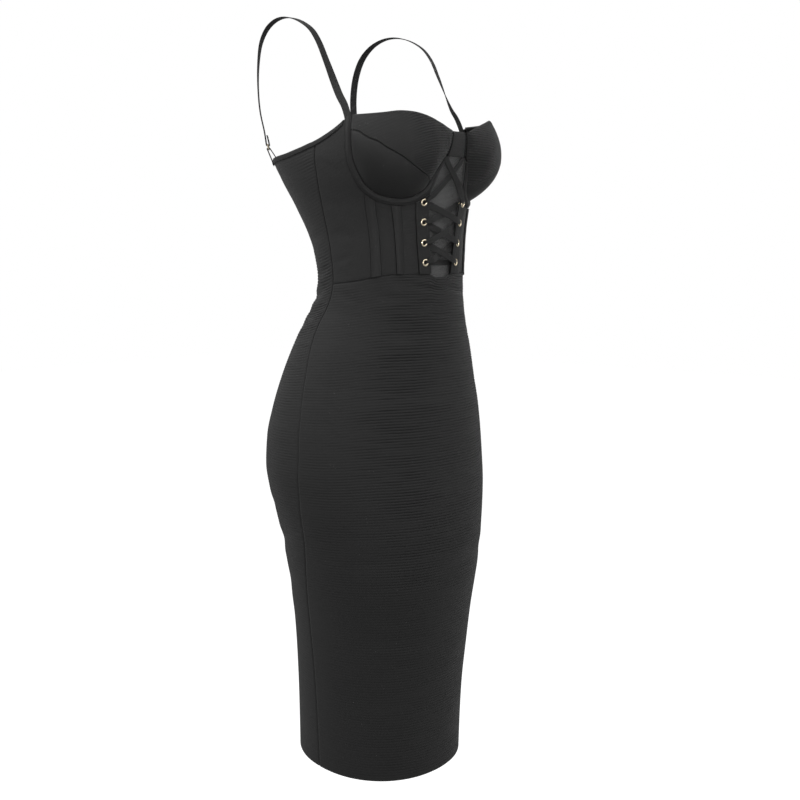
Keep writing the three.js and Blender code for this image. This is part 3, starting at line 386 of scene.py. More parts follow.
def wallPiece(name, outer, inner, clothAt, rowStep=1, mirror=False, keep=None, **how):
    rows, columns = outer.shape[:2]
    faces = wallFaces(rows, columns, rowStep) if keep is None else piercedFaces(rows, columns, keep)
    if pointsTowards(outer, inner) == mirror:
        faces = [tuple(reversed(f)) for f in faces]
    points = np.concatenate((outer.reshape(-1, 3), inner[::rowStep].reshape(-1, 3)))
    flat = np.concatenate((clothAt.reshape(-1, 3), clothAt[::rowStep].reshape(-1, 3)))
    if keep is not None:
        used = np.unique([v for f in faces for v in f])
        fresh = {v: i for i, v in enumerate(used.tolist())}
        faces = [tuple(fresh[v] for v in f) for f in faces]
        points, flat = points[used], flat[used]
    return addPiece(name, points * ((-1, 1, 1) if mirror else 1), faces, clothAt=flat, **how)


def wallPair(label, node, outer, inner, flat, cut=None, **how):
    for side, mirror in bothSides:
        piece = wallPiece(f"{side}_{label}", outer, inner, flat, mirror=mirror, nodes=[f"{side}_{node}"],
                          **how)


# Distances in from the edges, and how far along and up the cloth each place lies; the distance in from the
# nearer side edge is kept as the shading distance for painted seam shade.
def clothRuler(places):
    along, up = gridReach(formPoint(places[..., 0], places[..., 1]))
    middle = along.shape[1] // 2
    right = along[:, -1:] - along
    return {
        "left": along, "right": right, "bottom": up, "top": up[-1:] - up,
        "flat": np.stack((along - along[:, middle:middle + 1], up, np.minimum(along, right)), -1),
    }


# Cloth rolls in and puckers at its seams.
def seamRoll(ruler, sewn):
    distance = np.minimum.reduce([ruler[k] for k in sewn])
    near = np.exp(-(distance / cloth["rollReach"]) ** 2)
    pucker = softNoise(ruler["flat"][..., 0] / 4, ruler["flat"][..., 1] / 4, 5)
    return 0.12 * np.exp(-(distance / 5) ** 2) * pucker - cloth["seamRoll"] * near


def valleys(phase):
    share = np.abs(phase - np.round(phase))
    return np.exp(-(share / ribs["valley"]) ** 2)


# Columns that lie close together near both edges.
def nearEdges(width, spacing, ends=(0.45, 1, 1.8, 3, 4.6)):
    last = ends[-1]
    count = max(2, round((width - 2 * last) / spacing))
    low = np.array([0, *ends[:-1]])
    return np.concatenate((low, np.linspace(last, width - last, count + 1), width - low[::-1])) / width


# Creases drawn on the form between two places; a trough with a soft ridge on each side.
def creaseDepth(points, creases):
    depth = np.zeros(points.shape[:-1])
    share = np.linspace(0, 1, 14)
    for number, (fromAngle, toAngle, fromZ, toZ, wide, deep, bow) in enumerate(zip(*creases.values())):
        line = formPoint(mix(fromAngle, toAngle, share), mix(fromZ, toZ, share) + bow * np.sin(np.pi * share))
        near = np.full(depth.shape, np.inf)
        where = np.zeros(depth.shape)
        for a, b, t in zip(line[:-1], line[1:], share):
            run = b - a
            reach = np.clip(((points - a) @ run) / (run @ run), 0, 1)
            gap = np.linalg.norm(points - a - reach[..., None] * run, axis=-1)
            closer = gap < near
            near = np.where(closer, gap, near)
            where = np.where(closer, t + reach * share[1], where)
        width = wide * (1 + 0.35 * softNoise(where * 6, where * 0 + number * 7.3, 11))
        ends = np.sin(np.pi * np.clip(where, 0, 1)) ** 0.7
        shape = np.exp(-(near / width) ** 2) - 0.55 * np.exp(-((near - 2 * width) / width) ** 2)
        depth -= deep * shape * ends
    return depth


# Finishes.

def grey(value):
    return (value, value, value, 1)


def plug(tree, value, socket):
    if isinstance(value, bpy.types.NodeSocket):
        tree.links.new(value, socket)
    else:
        socket.default_value = value


def addNode(tree, kind, setting=None, **values):
    node = tree.nodes.new("ShaderNode" + kind)
    for label, value in (setting or {}).items():
        setattr(node, label, value)
    for label, value in values.items():
        plug(tree, value, node.inputs[label.replace("_", " ")])
    return node


def newGroup(name, inputs, outputs):
    group = bpy.data.node_groups.new(name, "ShaderNodeTree")
    for label, value in inputs.items():
        kind = "NodeSocketVector" if value is None else "NodeSocketFloat"
        socket = group.interface.new_socket(name=label, in_out="INPUT", socket_type=kind)
        if value is not None:
            socket.default_value = value
    for label in outputs:
        group.interface.new_socket(name=label, in_out="OUTPUT", socket_type="NodeSocketFloat")
    return group, group.nodes.new("NodeGroupInput").outputs, group.nodes.new("NodeGroupOutput").inputs


def addMath(tree, operation, *values):
    node = addNode(tree, "Math", {"operation": operation})
    for value, socket in zip(values, node.inputs):
        plug(tree, value, socket)
    return node.outputs[0]


def addMix(tree, factor, a, b):
    node = addNode(tree, "Mix", {"data_type": "RGBA"})
    for value, index in ((factor, 0), (a, 6), (b, 7)):
        plug(tree, value, node.inputs[index])
    return node.outputs[2]


# Knit loops: fine columns along the cloth, and courses across it.
def buildKnitGroup():
    group, given, out = newGroup("knitLoops", {
        "Cloth": None, "Loop Width": 0.0012, "Loop Height": 0.0009, "Unevenness": 0.3,
    }, ("Height", "Shade"))
    axes = addNode(group, "SeparateXYZ", Vector=given["Cloth"]).outputs
    noise = addNode(group, "TexNoise", Scale=420, Detail=2, Vector=given["Cloth"])
    wobble = addMath(group, "MULTIPLY", noise.outputs["Fac"], given["Unevenness"])
    column = addMath(group, "DIVIDE", axes["X"], given["Loop Width"])
    course = addMath(group, "DIVIDE", axes["Y"], given["Loop Height"])
    lean = addMath(group, "PINGPONG", addMath(group, "ADD", column, wobble), 0.5)
    turn = addMath(group, "MULTIPLY", addMath(group, "ADD", course, lean), 2 * math.pi)
    loop = addMath(group, "MULTIPLY", addMath(group, "SINE", turn), 0.25)
    height = addMath(group, "MULTIPLY_ADD", lean, 2, loop)
    plug(group, height, out["Height"])
    # Shade: the raised loops are painted lighter, a painted highlight, with random tone from the noise.
    cloudy = addMath(group, "MULTIPLY", wobble, 0.6)
    plug(group, addMath(group, "MULTIPLY_ADD", height, 0.5, cloudy), out["Shade"])
    return group


# Lint and faint cloudiness of a worn black cloth.
def buildLintGroup():
    group, given, out = newGroup("lintAndCloud", {
        "Cloud Scale": 9, "Lint Scale": 260, "Lint Amount": 0.35,
    }, ("Cloud", "Lint"))
    place = addNode(group, "TexCoord").outputs["Object"]
    cloud = addNode(group, "TexNoise", Detail=3, Vector=place, Scale=given["Cloud Scale"])
    plug(group, cloud.outputs["Fac"], out["Cloud"])
    specks = addNode(group, "TexVoronoi", Vector=place, Scale=given["Lint Scale"])
    few = addNode(group, "TexNoise", Scale=60, Vector=place)
    spot = addMath(group, "LESS_THAN", specks.outputs["Distance"], 0.14)
    some = addMath(group, "GREATER_THAN", few.outputs["Fac"], 0.66)
    lint = addMath(group, "MULTIPLY", addMath(group, "MULTIPLY", spot, some), given["Lint Amount"])
    plug(group, lint, out["Lint"])
    return group


# Twill or ribbed weave of tapes, and the weft across them.
def buildTapeGroup():
    group, given, out = newGroup("tapeWeave", {
        "Cloth": None, "Cord Width": 0.0008, "Slant": 0.6,
    }, ("Height", "Shade"))
    axes = addNode(group, "SeparateXYZ", Vector=given["Cloth"]).outputs

    def wave(along):
        turns = addMath(group, "DIVIDE", along, given["Cord Width"])
        return addMath(group, "SINE", addMath(group, "MULTIPLY", turns, 2 * math.pi))
    leaning = addMath(group, "MULTIPLY", axes["Y"], given["Slant"])
    cord = wave(addMath(group, "ADD", axes["X"], leaning))
    weft = addMath(group, "MULTIPLY", wave(axes["Y"]), 0.35)
    height = addMath(group, "ADD", cord, weft)
    plug(group, height, out["Height"])
    # Shade: the raised cords are painted lighter, a painted highlight.
    plug(group, addMath(group, "MULTIPLY_ADD", height, 0.3, 0.5), out["Shade"])
    return group


knitGroup, lintGroup, tapeGroup = buildKnitGroup(), buildLintGroup(), buildTapeGroup()


def newMaterial(name, **look):
    material = bpy.data.materials.new(name)
    material.use_nodes = True
    looks = material.node_tree.nodes["Principled BSDF"].inputs
    for label, value in look.items():
        looks[label.replace("_", " ")].default_value = value
    return material, material.node_tree, looks


def clothRule(tree):
    return addNode(tree, "Attribute", {"attribute_name": "cloth"}).outputs["Vector"]


def objectNoise(tree, **values):
    place = addNode(tree, "TexCoord").outputs["Object"]
    return addNode(tree, "TexNoise", Vector=place, **values).outputs["Fac"]


def fade(tree, value, low, high, atLow, atHigh):
    return addNode(tree, "MapRange", Value=value, From_Min=low, From_Max=high, To_Min=atLow,
                   To_Max=atHigh).outputs["Result"]


def addBump(tree, looks, height, distance):
    bump = addNode(tree, "Bump", Distance=distance, Strength=1, Height=height)
    plug(tree, bump.outputs["Normal"], looks["Normal"])


# A black cloth from a weave group, with lint, cloudiness and the sheen of its fibres; with seamShade, seams
# and rib valleys get painted shade that darkens the colour and takes away sheen and specular.
def blackCloth(name, weave, dark, light, look, bump, seamShade=0, **weaveValues):
    material, tree, looks = newMaterial(name, **look)
    rule = clothRule(tree)
    woven = addNode(tree, "Group", {"node_tree": weave}, Cloth=rule, **weaveValues).outputs
    lint = addNode(tree, "Group", {"node_tree": lintGroup}).outputs
    weaveShade = addMath(tree, "MULTIPLY", woven["Shade"], 0.5)
    shade = addMath(tree, "MULTIPLY_ADD", lint["Cloud"], 0.7, weaveShade)
    colour = addMix(tree, shade, grey(dark), grey(light))
    if seamShade:
        # Painted shade: near a seam or in a rib valley the colour goes dark and the sheen and specular drop.
        away = addNode(tree, "SeparateXYZ", Vector=rule).outputs["Z"]
        paintedSeamShade = fade(tree, away, seamShadow["dark"], seamShadow["clear"], seamShade, 0)
        colour = addMix(tree, paintedSeamShade, colour, grey(0.001))
        lit = fade(tree, away, seamShadow["dull"], seamShadow["lit"], seamShadow["leastLit"], 1)
        for label in ("Sheen Weight", "Specular IOR Level"):
            plug(tree, addMath(tree, "MULTIPLY", lit, looks[label].default_value), looks[label])
    plug(tree, addMix(tree, lint["Lint"], colour, grey(0.12)), looks["Base Color"])
    rough = addMath(tree, "MULTIPLY_ADD", lint["Cloud"], 0.12, look["Roughness"] - 0.06)
    plug(tree, rough, looks["Roughness"])
    addBump(tree, looks, woven["Height"], bump)
    return material


def sheen(roughness, weight, spread, tint):
    return {"Roughness": roughness, "Specular_IOR_Level": 0.3, "Sheen_Weight": weight,
            "Sheen_Roughness": spread, "Sheen_Tint": grey(tint)}


sheens = {
    "knit": sheen(0.75, 0.13, 0.45, 0.55), "smooth": sheen(0.68, 0.1, 0.4, 0.5),
    "tape": sheen(0.62, 0.1, 0.35, 0.6),
}
ribKnit = blackCloth("black_rib_knit", knitGroup, 0.006, 0.0135, sheens["knit"], 0.0001, 0.85,
                     Loop_Width=0.0011, Loop_Height=0.00095)
smoothKnit = blackCloth("black_smooth_knit", knitGroup, 0.0055, 0.0115, sheens["smooth"], 0.00005, 0.7,
                        Loop_Width=0.0008, Loop_Height=0.0007)
laceTape = blackCloth("black_lacing_tape", tapeGroup, 0.004, 0.009, sheens["tape"], 0.00008,
                      Cord_Width=0.0009, Slant=0.0)
strapTape = blackCloth("black_strap_elastic", tapeGroup, 0.004, 0.010, sheens["tape"], 0.00006,
                       Cord_Width=0.0007, Slant=0.9)
zipTapeCloth = blackCloth("black_zip_tape", tapeGroup, 0.005, 0.011, sheens["smooth"], 0.00006,
                          Cord_Width=0.0006, Slant=0.5)
threadBlack = blackCloth("black_thread", tapeGroup, 0.011, 0.024, sheens["tape"], 0.00003,
                         Cord_Width=0.0004, Slant=0.8)


net = {"cell": 0.0016, "thread": 0.13, "cover": 0.5, "threadCover": 0.45, "dark": 0.034, "light": 0.077}


# Open net of fine threads: six-sided holes let the inside of the dress show.
def buildNet():
    material, tree, looks = newMaterial("charcoal_net", Roughness=0.6, Sheen_Weight=0.4, Sheen_Roughness=0.4)
    scaled = addNode(tree, "VectorMath", {"operation": "SCALE"}, Vector=clothRule(tree),
                     Scale=1 / net["cell"])
    holes = addNode(tree, "TexVoronoi", {"voronoi_dimensions": "2D", "feature": "DISTANCE_TO_EDGE"},
                    Scale=1, Randomness=0.25, Vector=scaled.outputs[0])
    thread = addMath(tree, "LESS_THAN", holes.outputs["Distance"], net["thread"])
    plug(tree, addMath(tree, "MULTIPLY_ADD", thread, net["threadCover"], net["cover"]), looks["Alpha"])
    plug(tree, addMix(tree, thread, grey(net["dark"]), grey(net["light"])), looks["Base Color"])
    return material


# Gold plating with soft scratches.
def buildGold(name, tone, roughness):
    material, tree, looks = newMaterial(name, Metallic=1, Roughness=roughness)
    scratches = objectNoise(tree, Scale=900, Detail=4)
    darker = tuple(c * 0.72 for c in tone[:3]) + (1,)
    plug(tree, addMix(tree, scratches, darker, tone), looks["Base Color"])
    plug(tree, addMath(tree, "MULTIPLY_ADD", scratches, 0.16, roughness - 0.08), looks["Roughness"])
    addBump(tree, looks, scratches, 0.00002)
    return material


sheerNet = buildNet()
eyeletGold = buildGold("polished_gold", (1.0, 0.88, 0.66, 1), 0.17)
zipGold = buildGold("zip_gold", (0.74, 0.52, 0.25, 1), 0.32)
slots = {material.name: slot for slot, group in {
    "rib_knit": (ribKnit,), "smooth_knit": (smoothKnit,), "sheer_net": (sheerNet,),
    "tape": (laceTape, strapTape, zipTapeCloth, threadBlack), "gold": (eyeletGold, zipGold),
}.items() for material in group}
print("stage: finishes ready")


# Thread: each stitch is a short rounded bar that dips into the cloth at both ends.

stitching = {
    "pitch": 2.9, "length": 2.1, "thread": 0.24, "lift": 0.12, "sink": 0.3, "sides": 6,
    "rings": (-0.5, -0.32, 0, 0.32, 0.5), "swell": (0.55, 1, 1, 1, 0.55),
}


def stitchesAlong(points, normals):
    reach = reachAlong(points)
    count = max(1, int(reach[-1] / stitching["pitch"]))
    starts = (np.arange(count) + 0.5) * reach[-1] / count
    at = starts[:, None] + np.array(stitching["rings"]) * stitching["length"]
    out = unit(atReach(at, reach, normals))
    lift, sink = stitching["lift"], -stitching["sink"]
    where = atReach(at, reach, points) + out * np.array([sink, 0, lift, 0, sink])[:, None]
    thick = np.array(stitching["swell"]) * stitching["thread"]
    run = unit(np.gradient(where, axis=1))
    side = unit(np.cross(run, out))
    up = np.cross(side, run)
    turn = np.arange(stitching["sides"]) * 2 * np.pi / stitching["sides"]
    ring = side[:, :, None] * np.cos(turn)[:, None] + up[:, :, None] * np.sin(turn)[:, None]
    return where[:, :, None] + ring * thick[None, :, None, None]


def stitchPiece(name, runs, mirror=False):
    sides = stitching["sides"]
    bars = np.concatenate([stitchesAlong(*run) for run in runs])
    count, rings = bars.shape[:2]
    faces = []
    for base in range(0, count * rings * sides, rings * sides):
        for low in range(base, base + (rings - 1) * sides, sides):
            for k in range(sides):
                a, b = low + k, low + (k + 1) % sides
                faces.append((a, b, b + sides, a + sides))
        faces.append(tuple(reversed(range(base, base + sides))))
        faces.append(tuple(range(base + (rings - 1) * sides, base + rings * sides)))
    if not mirror:
        faces = [tuple(reversed(f)) for f in faces]
    flat = np.zeros((count, rings, sides, 3))
    flat[..., 1] = 0.4 * np.arange(rings)[:, None]
    points = bars.reshape(-1, 3) * ((-1, 1, 1) if mirror else 1)
    return addPiece(name, points, faces, threadBlack, clothAt=flat.reshape(-1, 3))


# The right line of stitches and its mirror.
def stitchPair(name, runs):
    for side, mirror in bothSides:
        stitchPiece(f"{side}_{name}", runs, mirror)


def onForm(places, depth):
    return bodyPoint(places[..., 0], places[..., 1], depth)


def runOnForm(places, depth):
    return onForm(places, depth), formNormal(places[:, 0], places[:, 1])


# A stitched line at one share of a piece's width.
def runAcross(sides, share, t, depth):
    return runOnForm(clothPlaces(sides, np.array([share]), t)[:, 0], depth)


# Rib knit panels. Each rib is four rows of the outer wall, the first of them in the valley.
# The ribs are stronger where the photo's light rakes over them, and calm low down.

lightOnRibs = {
    "front": (-62, -14), "least": 0.34, "most": 0.76, "back": (88, 100), "backLeast": 0.12, "backMost": 0.33,
    "waist": -385, "waistReach": 60, "backUpper": (-340, -285), "backUpperLoss": 0.7, "low": (-820, -700),
    "lowShare": 0.6, "uneven": (0.6, 0.35), "crooked": 0.05, "brightest": 1.3, "seamShadeOffsetHeights": (420, 500),
}


def ribRows(count):
    rows = (np.arange(count)[:, None] + np.array(ribs["phases"])).ravel() / count
    return np.append(rows, 1.0)


def panelWalls(places, ribCount, relief, sewn, creases=None, rolled=None):
    light = lightOnRibs
    ruler = clothRuler(places)
    sewnAway = np.minimum.reduce([ruler[k] for k in sewn])
    u, v = ruler["flat"][..., 0], ruler["flat"][..., 1]
    angle, z = places[..., 0], places[..., 1]
    onBack = smoothStep(-angle, *light["back"])
    nearWaist = np.exp(-((z - light["waist"]) / light["waistReach"]) ** 2)
    atWaist = light["backLeast"] + light["backMost"] * nearWaist
    raking = light["least"] + light["most"] * smoothStep(angle, *light["front"]) + atWaist * onBack
    raking = raking * (1 - light["backUpperLoss"] * onBack * smoothStep(z, *light["backUpper"]))
    calm = light["lowShare"] + (1 - light["lowShare"]) * smoothStep(z, *light["low"])
    fine, broad = light["uneven"]
    streaks = 1 + fine * softNoise(u / 34, v / 4.2, 3) + broad * softNoise(u / 70, v / 26, 6)
    share = streaks * smoothStep(sewnAway, 0.5, 4) * raking * calm
    phase = (ribRows(ribCount) * ribCount)[:, None] + light["crooked"] * softNoise(u / 30, v / 20, 4)
    valley = valleys(phase)
    crease = creaseDepth(onForm(places, 0 * u), creases) if creases else 0 * u
    crease = crease * smoothStep(sewnAway, 0, 9)
    outer = onForm(places, crease + seamRoll(ruler, rolled or sewn) - relief * share * valley)
    inner = onForm(places, crease - cloth["wall"])
    # Painted shade: rib valleys are drawn darker where the ribs take more raking light, and seams are drawn
    # dark; waist seams and the low side seams get an offset that makes their painted shade lighter.
    shade = ribs["shade"] * min(1, relief / ribs["deepest"]) * np.clip(share, 0, light["brightest"])
    seamShadeOffset = {"left": ribs["seamShadeOffset"] * smoothStep(-z, *light["seamShadeOffsetHeights"])}
    seamShadeOffset["right"] = seamShadeOffset["left"]
    seamAway = np.minimum.reduce([ruler[k] + seamShadeOffset.get(k, ribs["seamShadeOffset"]) for k in sewn])
    shadeDepth = np.minimum(seamAway, clearCloth - shade * valley)
    return outer, inner, np.stack((u, v, shadeDepth), -1)


creaseColumns = "fromAngle toAngle fromZ toZ width depth bow"
frontSkirt = {
    "ribs": 184, "relief": 0.7, "across": (430, 7), "cut": {"flat": (0.45, 0.7), "area": 0.3},
    "wave": {"height": 2.6, "length": 52, "reach": 30, "half": 62, "start": 14, "below": -349},
    "opening": {"half": 19, "dip": 4.2, "reach": 12},
    "creases": table(creaseColumns, [
        (-88, -62, -372, -392, 5, 0.7, 3), (-60, -30, -368, -382, 6, 0.6, -4),
        (-26, 12, -362, -366, 3.6, 0.8, -5), (4, 44, -364, -372, 4.4, 0.8, -4),
        (40, 86, -378, -396, 5.5, 0.7, 3), (-40, 30, -425, -432, 9, 0.6, -6),
        (-84, -70, -505, -560, 7, 0.9, 0), (70, 85, -560, -508, 7, 0.9, 0),
        (-70, 10, -742, -728, 12, 0.7, 5), (-10, 72, -762, -748, 12, 0.7, 5),
        (-60, 40, -846, -858, 14, 0.8, -6),
    ]),
}


def hemRun(fromAngle, toAngle):
    angle = np.linspace(fromAngle, toAngle, 61)
    return runThrough(placesOf(angle, hemHeight(angle)))


def waistRun(fromAngle, toAngle, lift):
    angle = np.linspace(fromAngle, toAngle, 61)
    return runThrough(placesOf(angle, waistHeight(angle) + lift))


def sideRun(foot, top, shift, sign=1):
    def at(t):
        z = mix(foot, top, np.asarray(t, float))
        return placesOf(sign * sideSeamAngle(z, shift), z)
    return at


def buildFrontSkirt():
    half, side = cloth["seamGap"] / 2, edges["sideWaist"]
    left, right = (sideRun(hemHeight(side), waistHeight(side) - half, half, sign) for sign in (1, -1))
    foot, top = hemRun(left(0)[0], right(0)[0]), waistRun(left(1)[0], right(1)[0], -half)
    places = clothPlaces(fourSides(left, right, foot, top), nearEdges(*frontSkirt["across"]),
                         ribRows(frontSkirt["ribs"]))
    wave, opening = frontSkirt["wave"], frontSkirt["opening"]
    aside = formPoint(places[..., 0], places[..., 1])[..., 0] - wave["start"]
    below = wave["below"] - places[..., 1]
    swing = np.sin(2 * np.pi * aside / wave["length"]) * np.exp(-below / wave["reach"])
    swing = swing * smoothStep(below, 0, 10) * smoothStep(wave["half"] - np.abs(aside), 0, 26)
    places[..., 1] += wave["height"] * swing
    inOpening = smoothStep(opening["half"] - np.abs(aside + wave["start"]), 0, 7)
    places[..., 1] -= opening["dip"] * inOpening * np.exp(-np.maximum(below, 0) / opening["reach"])
    walls = panelWalls(places, frontSkirt["ribs"], frontSkirt["relief"], ("left", "right", "top"),
                       frontSkirt["creases"])
    piece = wallPiece("front_skirt_knit", *walls, rowStep=4, material=ribKnit, nodes=["front_skirt"])


backPanel = {
    "skirtRibs": 182, "bodiceRibs": 45, "relief": 0.85, "across": (210, 7),
    "cut": {"flat": (0.25, 0.86), "area": 0.17},
    "droop": {"slope": 0.17, "middle": -400, "reach": 95, "width": 120, "topFade": 60, "backFade": 30},
    "creases": table(creaseColumns, [
        (-96, -128, -338, -352, 5, 1.1, -3), (-97, -140, -362, -385, 6, 1.3, -5),
        (-98, -134, -390, -424, 6.5, 1.1, -4), (-126, -172, -372, -380, 7, 1.2, -4),
        (-100, -126, -300, -306, 5, 0.8, 2), (-112, -164, -655, -700, 11, 1.2, -8),
        (-100, -150, -702, -728, 12, 1, -8), (-104, -168, -780, -800, 13, 0.8, 5),
    ]),
}


def centreBackPlace(z):
    beside = smoothStep(z, edges["zipBottom"] - 6, edges["zipBottom"] + 2)
    return placesOf(backAngle(-mix(cloth["seamGap"] / 2, edges["zipHalf"], beside), z), z)


def backHeights(hem, waist, top, t):
    waistShare = backPanel["skirtRibs"] / (backPanel["skirtRibs"] + backPanel["bodiceRibs"])
    return np.interp(t, (0, waistShare, 1), (hem, waist, top))


def backSides():
    def left(t):
        return centreBackPlace(backHeights(hemHeight(-180), edges["waistBack"], topEdgeHeight(-180), t))

    def right(t):
        side = edges["sideWaist"]
        z = backHeights(hemHeight(side), waistHeight(side), topEdgeHeight(edges["sideTop"]), t)
        return placesOf(sideSeamAngle(z, -cloth["seamGap"] / 2), z)
    angle = np.linspace(left(1)[0], right(1)[0], 41)
    top = runThrough(placesOf(angle, topEdgeHeight(angle)))
    return fourSides(left, right, hemRun(left(0)[0], right(0)[0]), top)


def buildBackPanels():
    count = backPanel["skirtRibs"] + backPanel["bodiceRibs"]
    places = clothPlaces(backSides(), nearEdges(*backPanel["across"]), ribRows(count))
    ruler = clothRuler(places)
    droop = backPanel["droop"]
    near = np.exp(-((places[..., 1] - droop["middle"]) / droop["reach"]) ** 2)
    fading = smoothStep(ruler["top"], 0, droop["topFade"]) * smoothStep(ruler["left"], 0, droop["backFade"])
    places[..., 1] -= droop["slope"] * np.minimum(ruler["right"], droop["width"]) * near * fading
    walls = panelWalls(places, count, backPanel["relief"], ("left", "right"), backPanel["creases"])
    wallPair("back_knit", "back_panel", *walls, backPanel["cut"], rowStep=4, material=ribKnit)


buildFrontSkirt()
buildBackPanels()
print("stage: skirt and back")


# Corset front, with its panels cut to meet under the boning channels and the casing.

bodice = {
    "casingWidth": 10, "casingEnd": 0.845, "casingNarrow": 2.4, "underCasing": 4.5, "relief": 0.16,
    "channels": {
        "side": {"outer": (-57.4, -57.5), "inner": (-50.4, -49.4), "seed": 3.3},
        "front": {"outer": (-40.2, -37.9), "inner": (-33.5, -32.5), "seed": 8.1},
    },
    "trim": 1.2, "channelWidth": 13, "channelRise": 1, "casingRise": 1.32, "tuck": 0.6,
    "placket": {"topX": -32.6, "waistX": -20.4, "width": 20.5, "topZ": -251, "waistZ": -349, "stitches": 1.7,
                "corner": -238, "middle": -241, "outer": -252},
    "panels": {
        "side_front": {
            "ribs": 46, "across": (95, 4), "cut": {"flat": (0.115, 0.19), "area": 0.0175},
            "creases": table(creaseColumns, [
                (-90, -72, -330, -322, 5, 0.4, -3), (-89, -66, -296, -300, 6, 0.35, 3),
                (-88, -76, -250, -262, 6, 0.35, 2), (-86, -74, -196, -216, 5, 0.35, 2),
            ]),
        },
        "front": {"ribs": 26, "across": (36, 3.5), "cut": {"flat": (0.045, 0.11), "area": 0.0038}},
        "centre_front": {"ribs": 26, "across": (40, 1.1), "cut": {"flat": (0.05, 0.105), "area": 0.0044}},
    },
}


# Half the casing width: it narrows towards the bridge and ends there.
def casingHalf(along):
    end = bodice["casingEnd"]
    width = mix(bodice["casingWidth"] / 2, bodice["casingNarrow"], smoothStep(along, 0.7, end))
    return mix(width, cloth["lift"] / 2, smoothStep(along, end, end + 0.03))


def channelMiddle(name):
    channel = bodice["channels"][name]
    return tuple((channel["outer"][k] + channel["inner"][k]) / 2 for k in (0, 1))


# Seam that rises under a bone channel from the waist to the underwire.
def risingSeam(name, shift):
    topAngle, waistAngle = channelMiddle(name)
    share = wireShareAt(topAngle, bodice["underCasing"])
    foot = np.array([waistAngle, waistHeight(waistAngle) + cloth["seamGap"] / 2])
    at = mix(foot, besideWire(share, bodice["underCasing"]), np.linspace(0, 1, 25)[:, None])
    at[:, 0] += degreesFor(shift, at[:, 0], at[:, 1])
    return at, share


def wireRun(fromShare, toShare, shift):
    return runThrough(besideWire(np.linspace(fromShare, toShare, 41), shift))


def openingX(z):
    placket = bodice["placket"]
    share = (z - placket["waistZ"]) / (placket["topZ"] - placket["waistZ"])
    return mix(placket["waistX"], placket["topX"], share)


def openingShare():
    z = bodice["placket"]["corner"]
    return wireShareAt(frontAngle(openingX(z), z), -bodice["casingWidth"] / 2)


def openingEdge():
    top = besideWire(openingShare(), bodice["underCasing"])[1]
    z = np.linspace(waistHeight(0) + cloth["seamGap"] / 2, top, 31)
    return runThrough(placesOf(frontAngle(openingX(z), z), z))


def sideFrontSides():
    half = cloth["seamGap"] / 2
    seam, share = risingSeam("side", -half)
    left = sideRun(waistHeight(edges["sideWaist"]) + half, topEdgeHeight(edges["sideTop"]), half)
    around = besideWire(np.linspace(share, 0, 41), bodice["underCasing"])
    angle = np.linspace(left(1)[0], around[-1, 0], 31)
    rim = placesOf(angle, np.minimum(topEdgeHeight(angle), around[-1, 1]))
    rim[-1] = around[-1]
    right = runThrough(np.concatenate((seam, around[1:])))
    return fourSides(left, right, waistRun(left(0)[0], seam[0, 0], half), runThrough(rim))


def frontSides():
    half = cloth["seamGap"] / 2
    outer, outerShare = risingSeam("side", half)
    inner, innerShare = risingSeam("front", -half)
    return fourSides(runThrough(outer), runThrough(inner), waistRun(outer[0, 0], inner[0, 0], half),
                     wireRun(outerShare, innerShare, bodice["underCasing"]))


def centreFrontSides():
    half = cloth["seamGap"] / 2
    outer, outerShare = risingSeam("front", half)
    edge = openingEdge()
    return fourSides(runThrough(outer), edge, waistRun(outer[0, 0], edge(0)[0], half),
                     wireRun(outerShare, openingShare(), bodice["underCasing"]))


eyelets = {
    "rows": [(41, -252.5), (38.2, -279), (35.4, -306.5), (32.2, -333)],
    "radius": 5.1, "hole": 2.7, "cut": 3.75,
}


# Marks the cells that eyelets pass through and draws the cells beside them onto the round hole.
def cutEyelets(places):
    keep = np.ones((places.shape[0] - 1, places.shape[1] - 1), bool)
    points = formPoint(places[..., 0], places[..., 1])
    for x, z in eyelets["rows"]:
        centre = placesOf(frontAngle(-x, z), z)
        middle = formPoint(*centre)
        away = np.linalg.norm(points - middle, axis=-1)
        cell = (away[:-1, :-1] + away[1:, :-1] + away[:-1, 1:] + away[1:, 1:]) / 4
        gone = cell < eyelets["cut"]
        keep &= ~gone
        full = np.pad(gone, 1).astype(int)
        touching = full[:-1, :-1] + full[1:, :-1] + full[:-1, 1:] + full[1:, 1:]
        rim = (touching > 0) & (touching < 4)
        pull = (eyelets["cut"] / np.maximum(away, 0.1))[..., None]
        places[rim] = (centre + (places - centre) * pull)[rim]
    return keep


def buildCorsetFront():
    sides = {"side_front": sideFrontSides(), "front": frontSides(), "centre_front": centreFrontSides()}
    for name, panel in bodice["panels"].items():
        places = clothPlaces(sides[name], nearEdges(*panel["across"]), ribRows(panel["ribs"]))
        how = {"keep": cutEyelets(places)} if name == "centre_front" else {"rowStep": 4}
        walls = panelWalls(places, panel["ribs"], bodice["relief"], ("left", "right", "bottom"),
                           panel.get("creases"))
        wallPair(f"{name}_knit", f"{name}_panel", *walls, panel["cut"], material=ribKnit, **how)


tapeShape = {
    "margin": 1.9, "rounding": 0.5, "edge": 0.45, "groove": 0.16, "grooveAt": 0.62, "grooveWidth": 0.45,
}


# Tape sewn on top: raised in the middle, with a stitched margin down each side.
def tapeHeights(s, width, low, rise, wall):
    shape, margin = tapeShape, tapeShape["margin"] / width
    away = np.minimum(s, 1 - s)
    edge = shape["edge"] + (1 - shape["edge"]) * np.sqrt(np.clip(away * width / shape["rounding"], 0, 1))
    fromGroove = (away - shape["grooveAt"] * margin) * width / shape["grooveWidth"]
    dome = rise * np.sin(np.pi * np.clip((s - margin) / (1 - 2 * margin), 0, 1)) ** 0.8
    return low + wall * edge - shape["groove"] * np.exp(-fromGroove ** 2) + dome


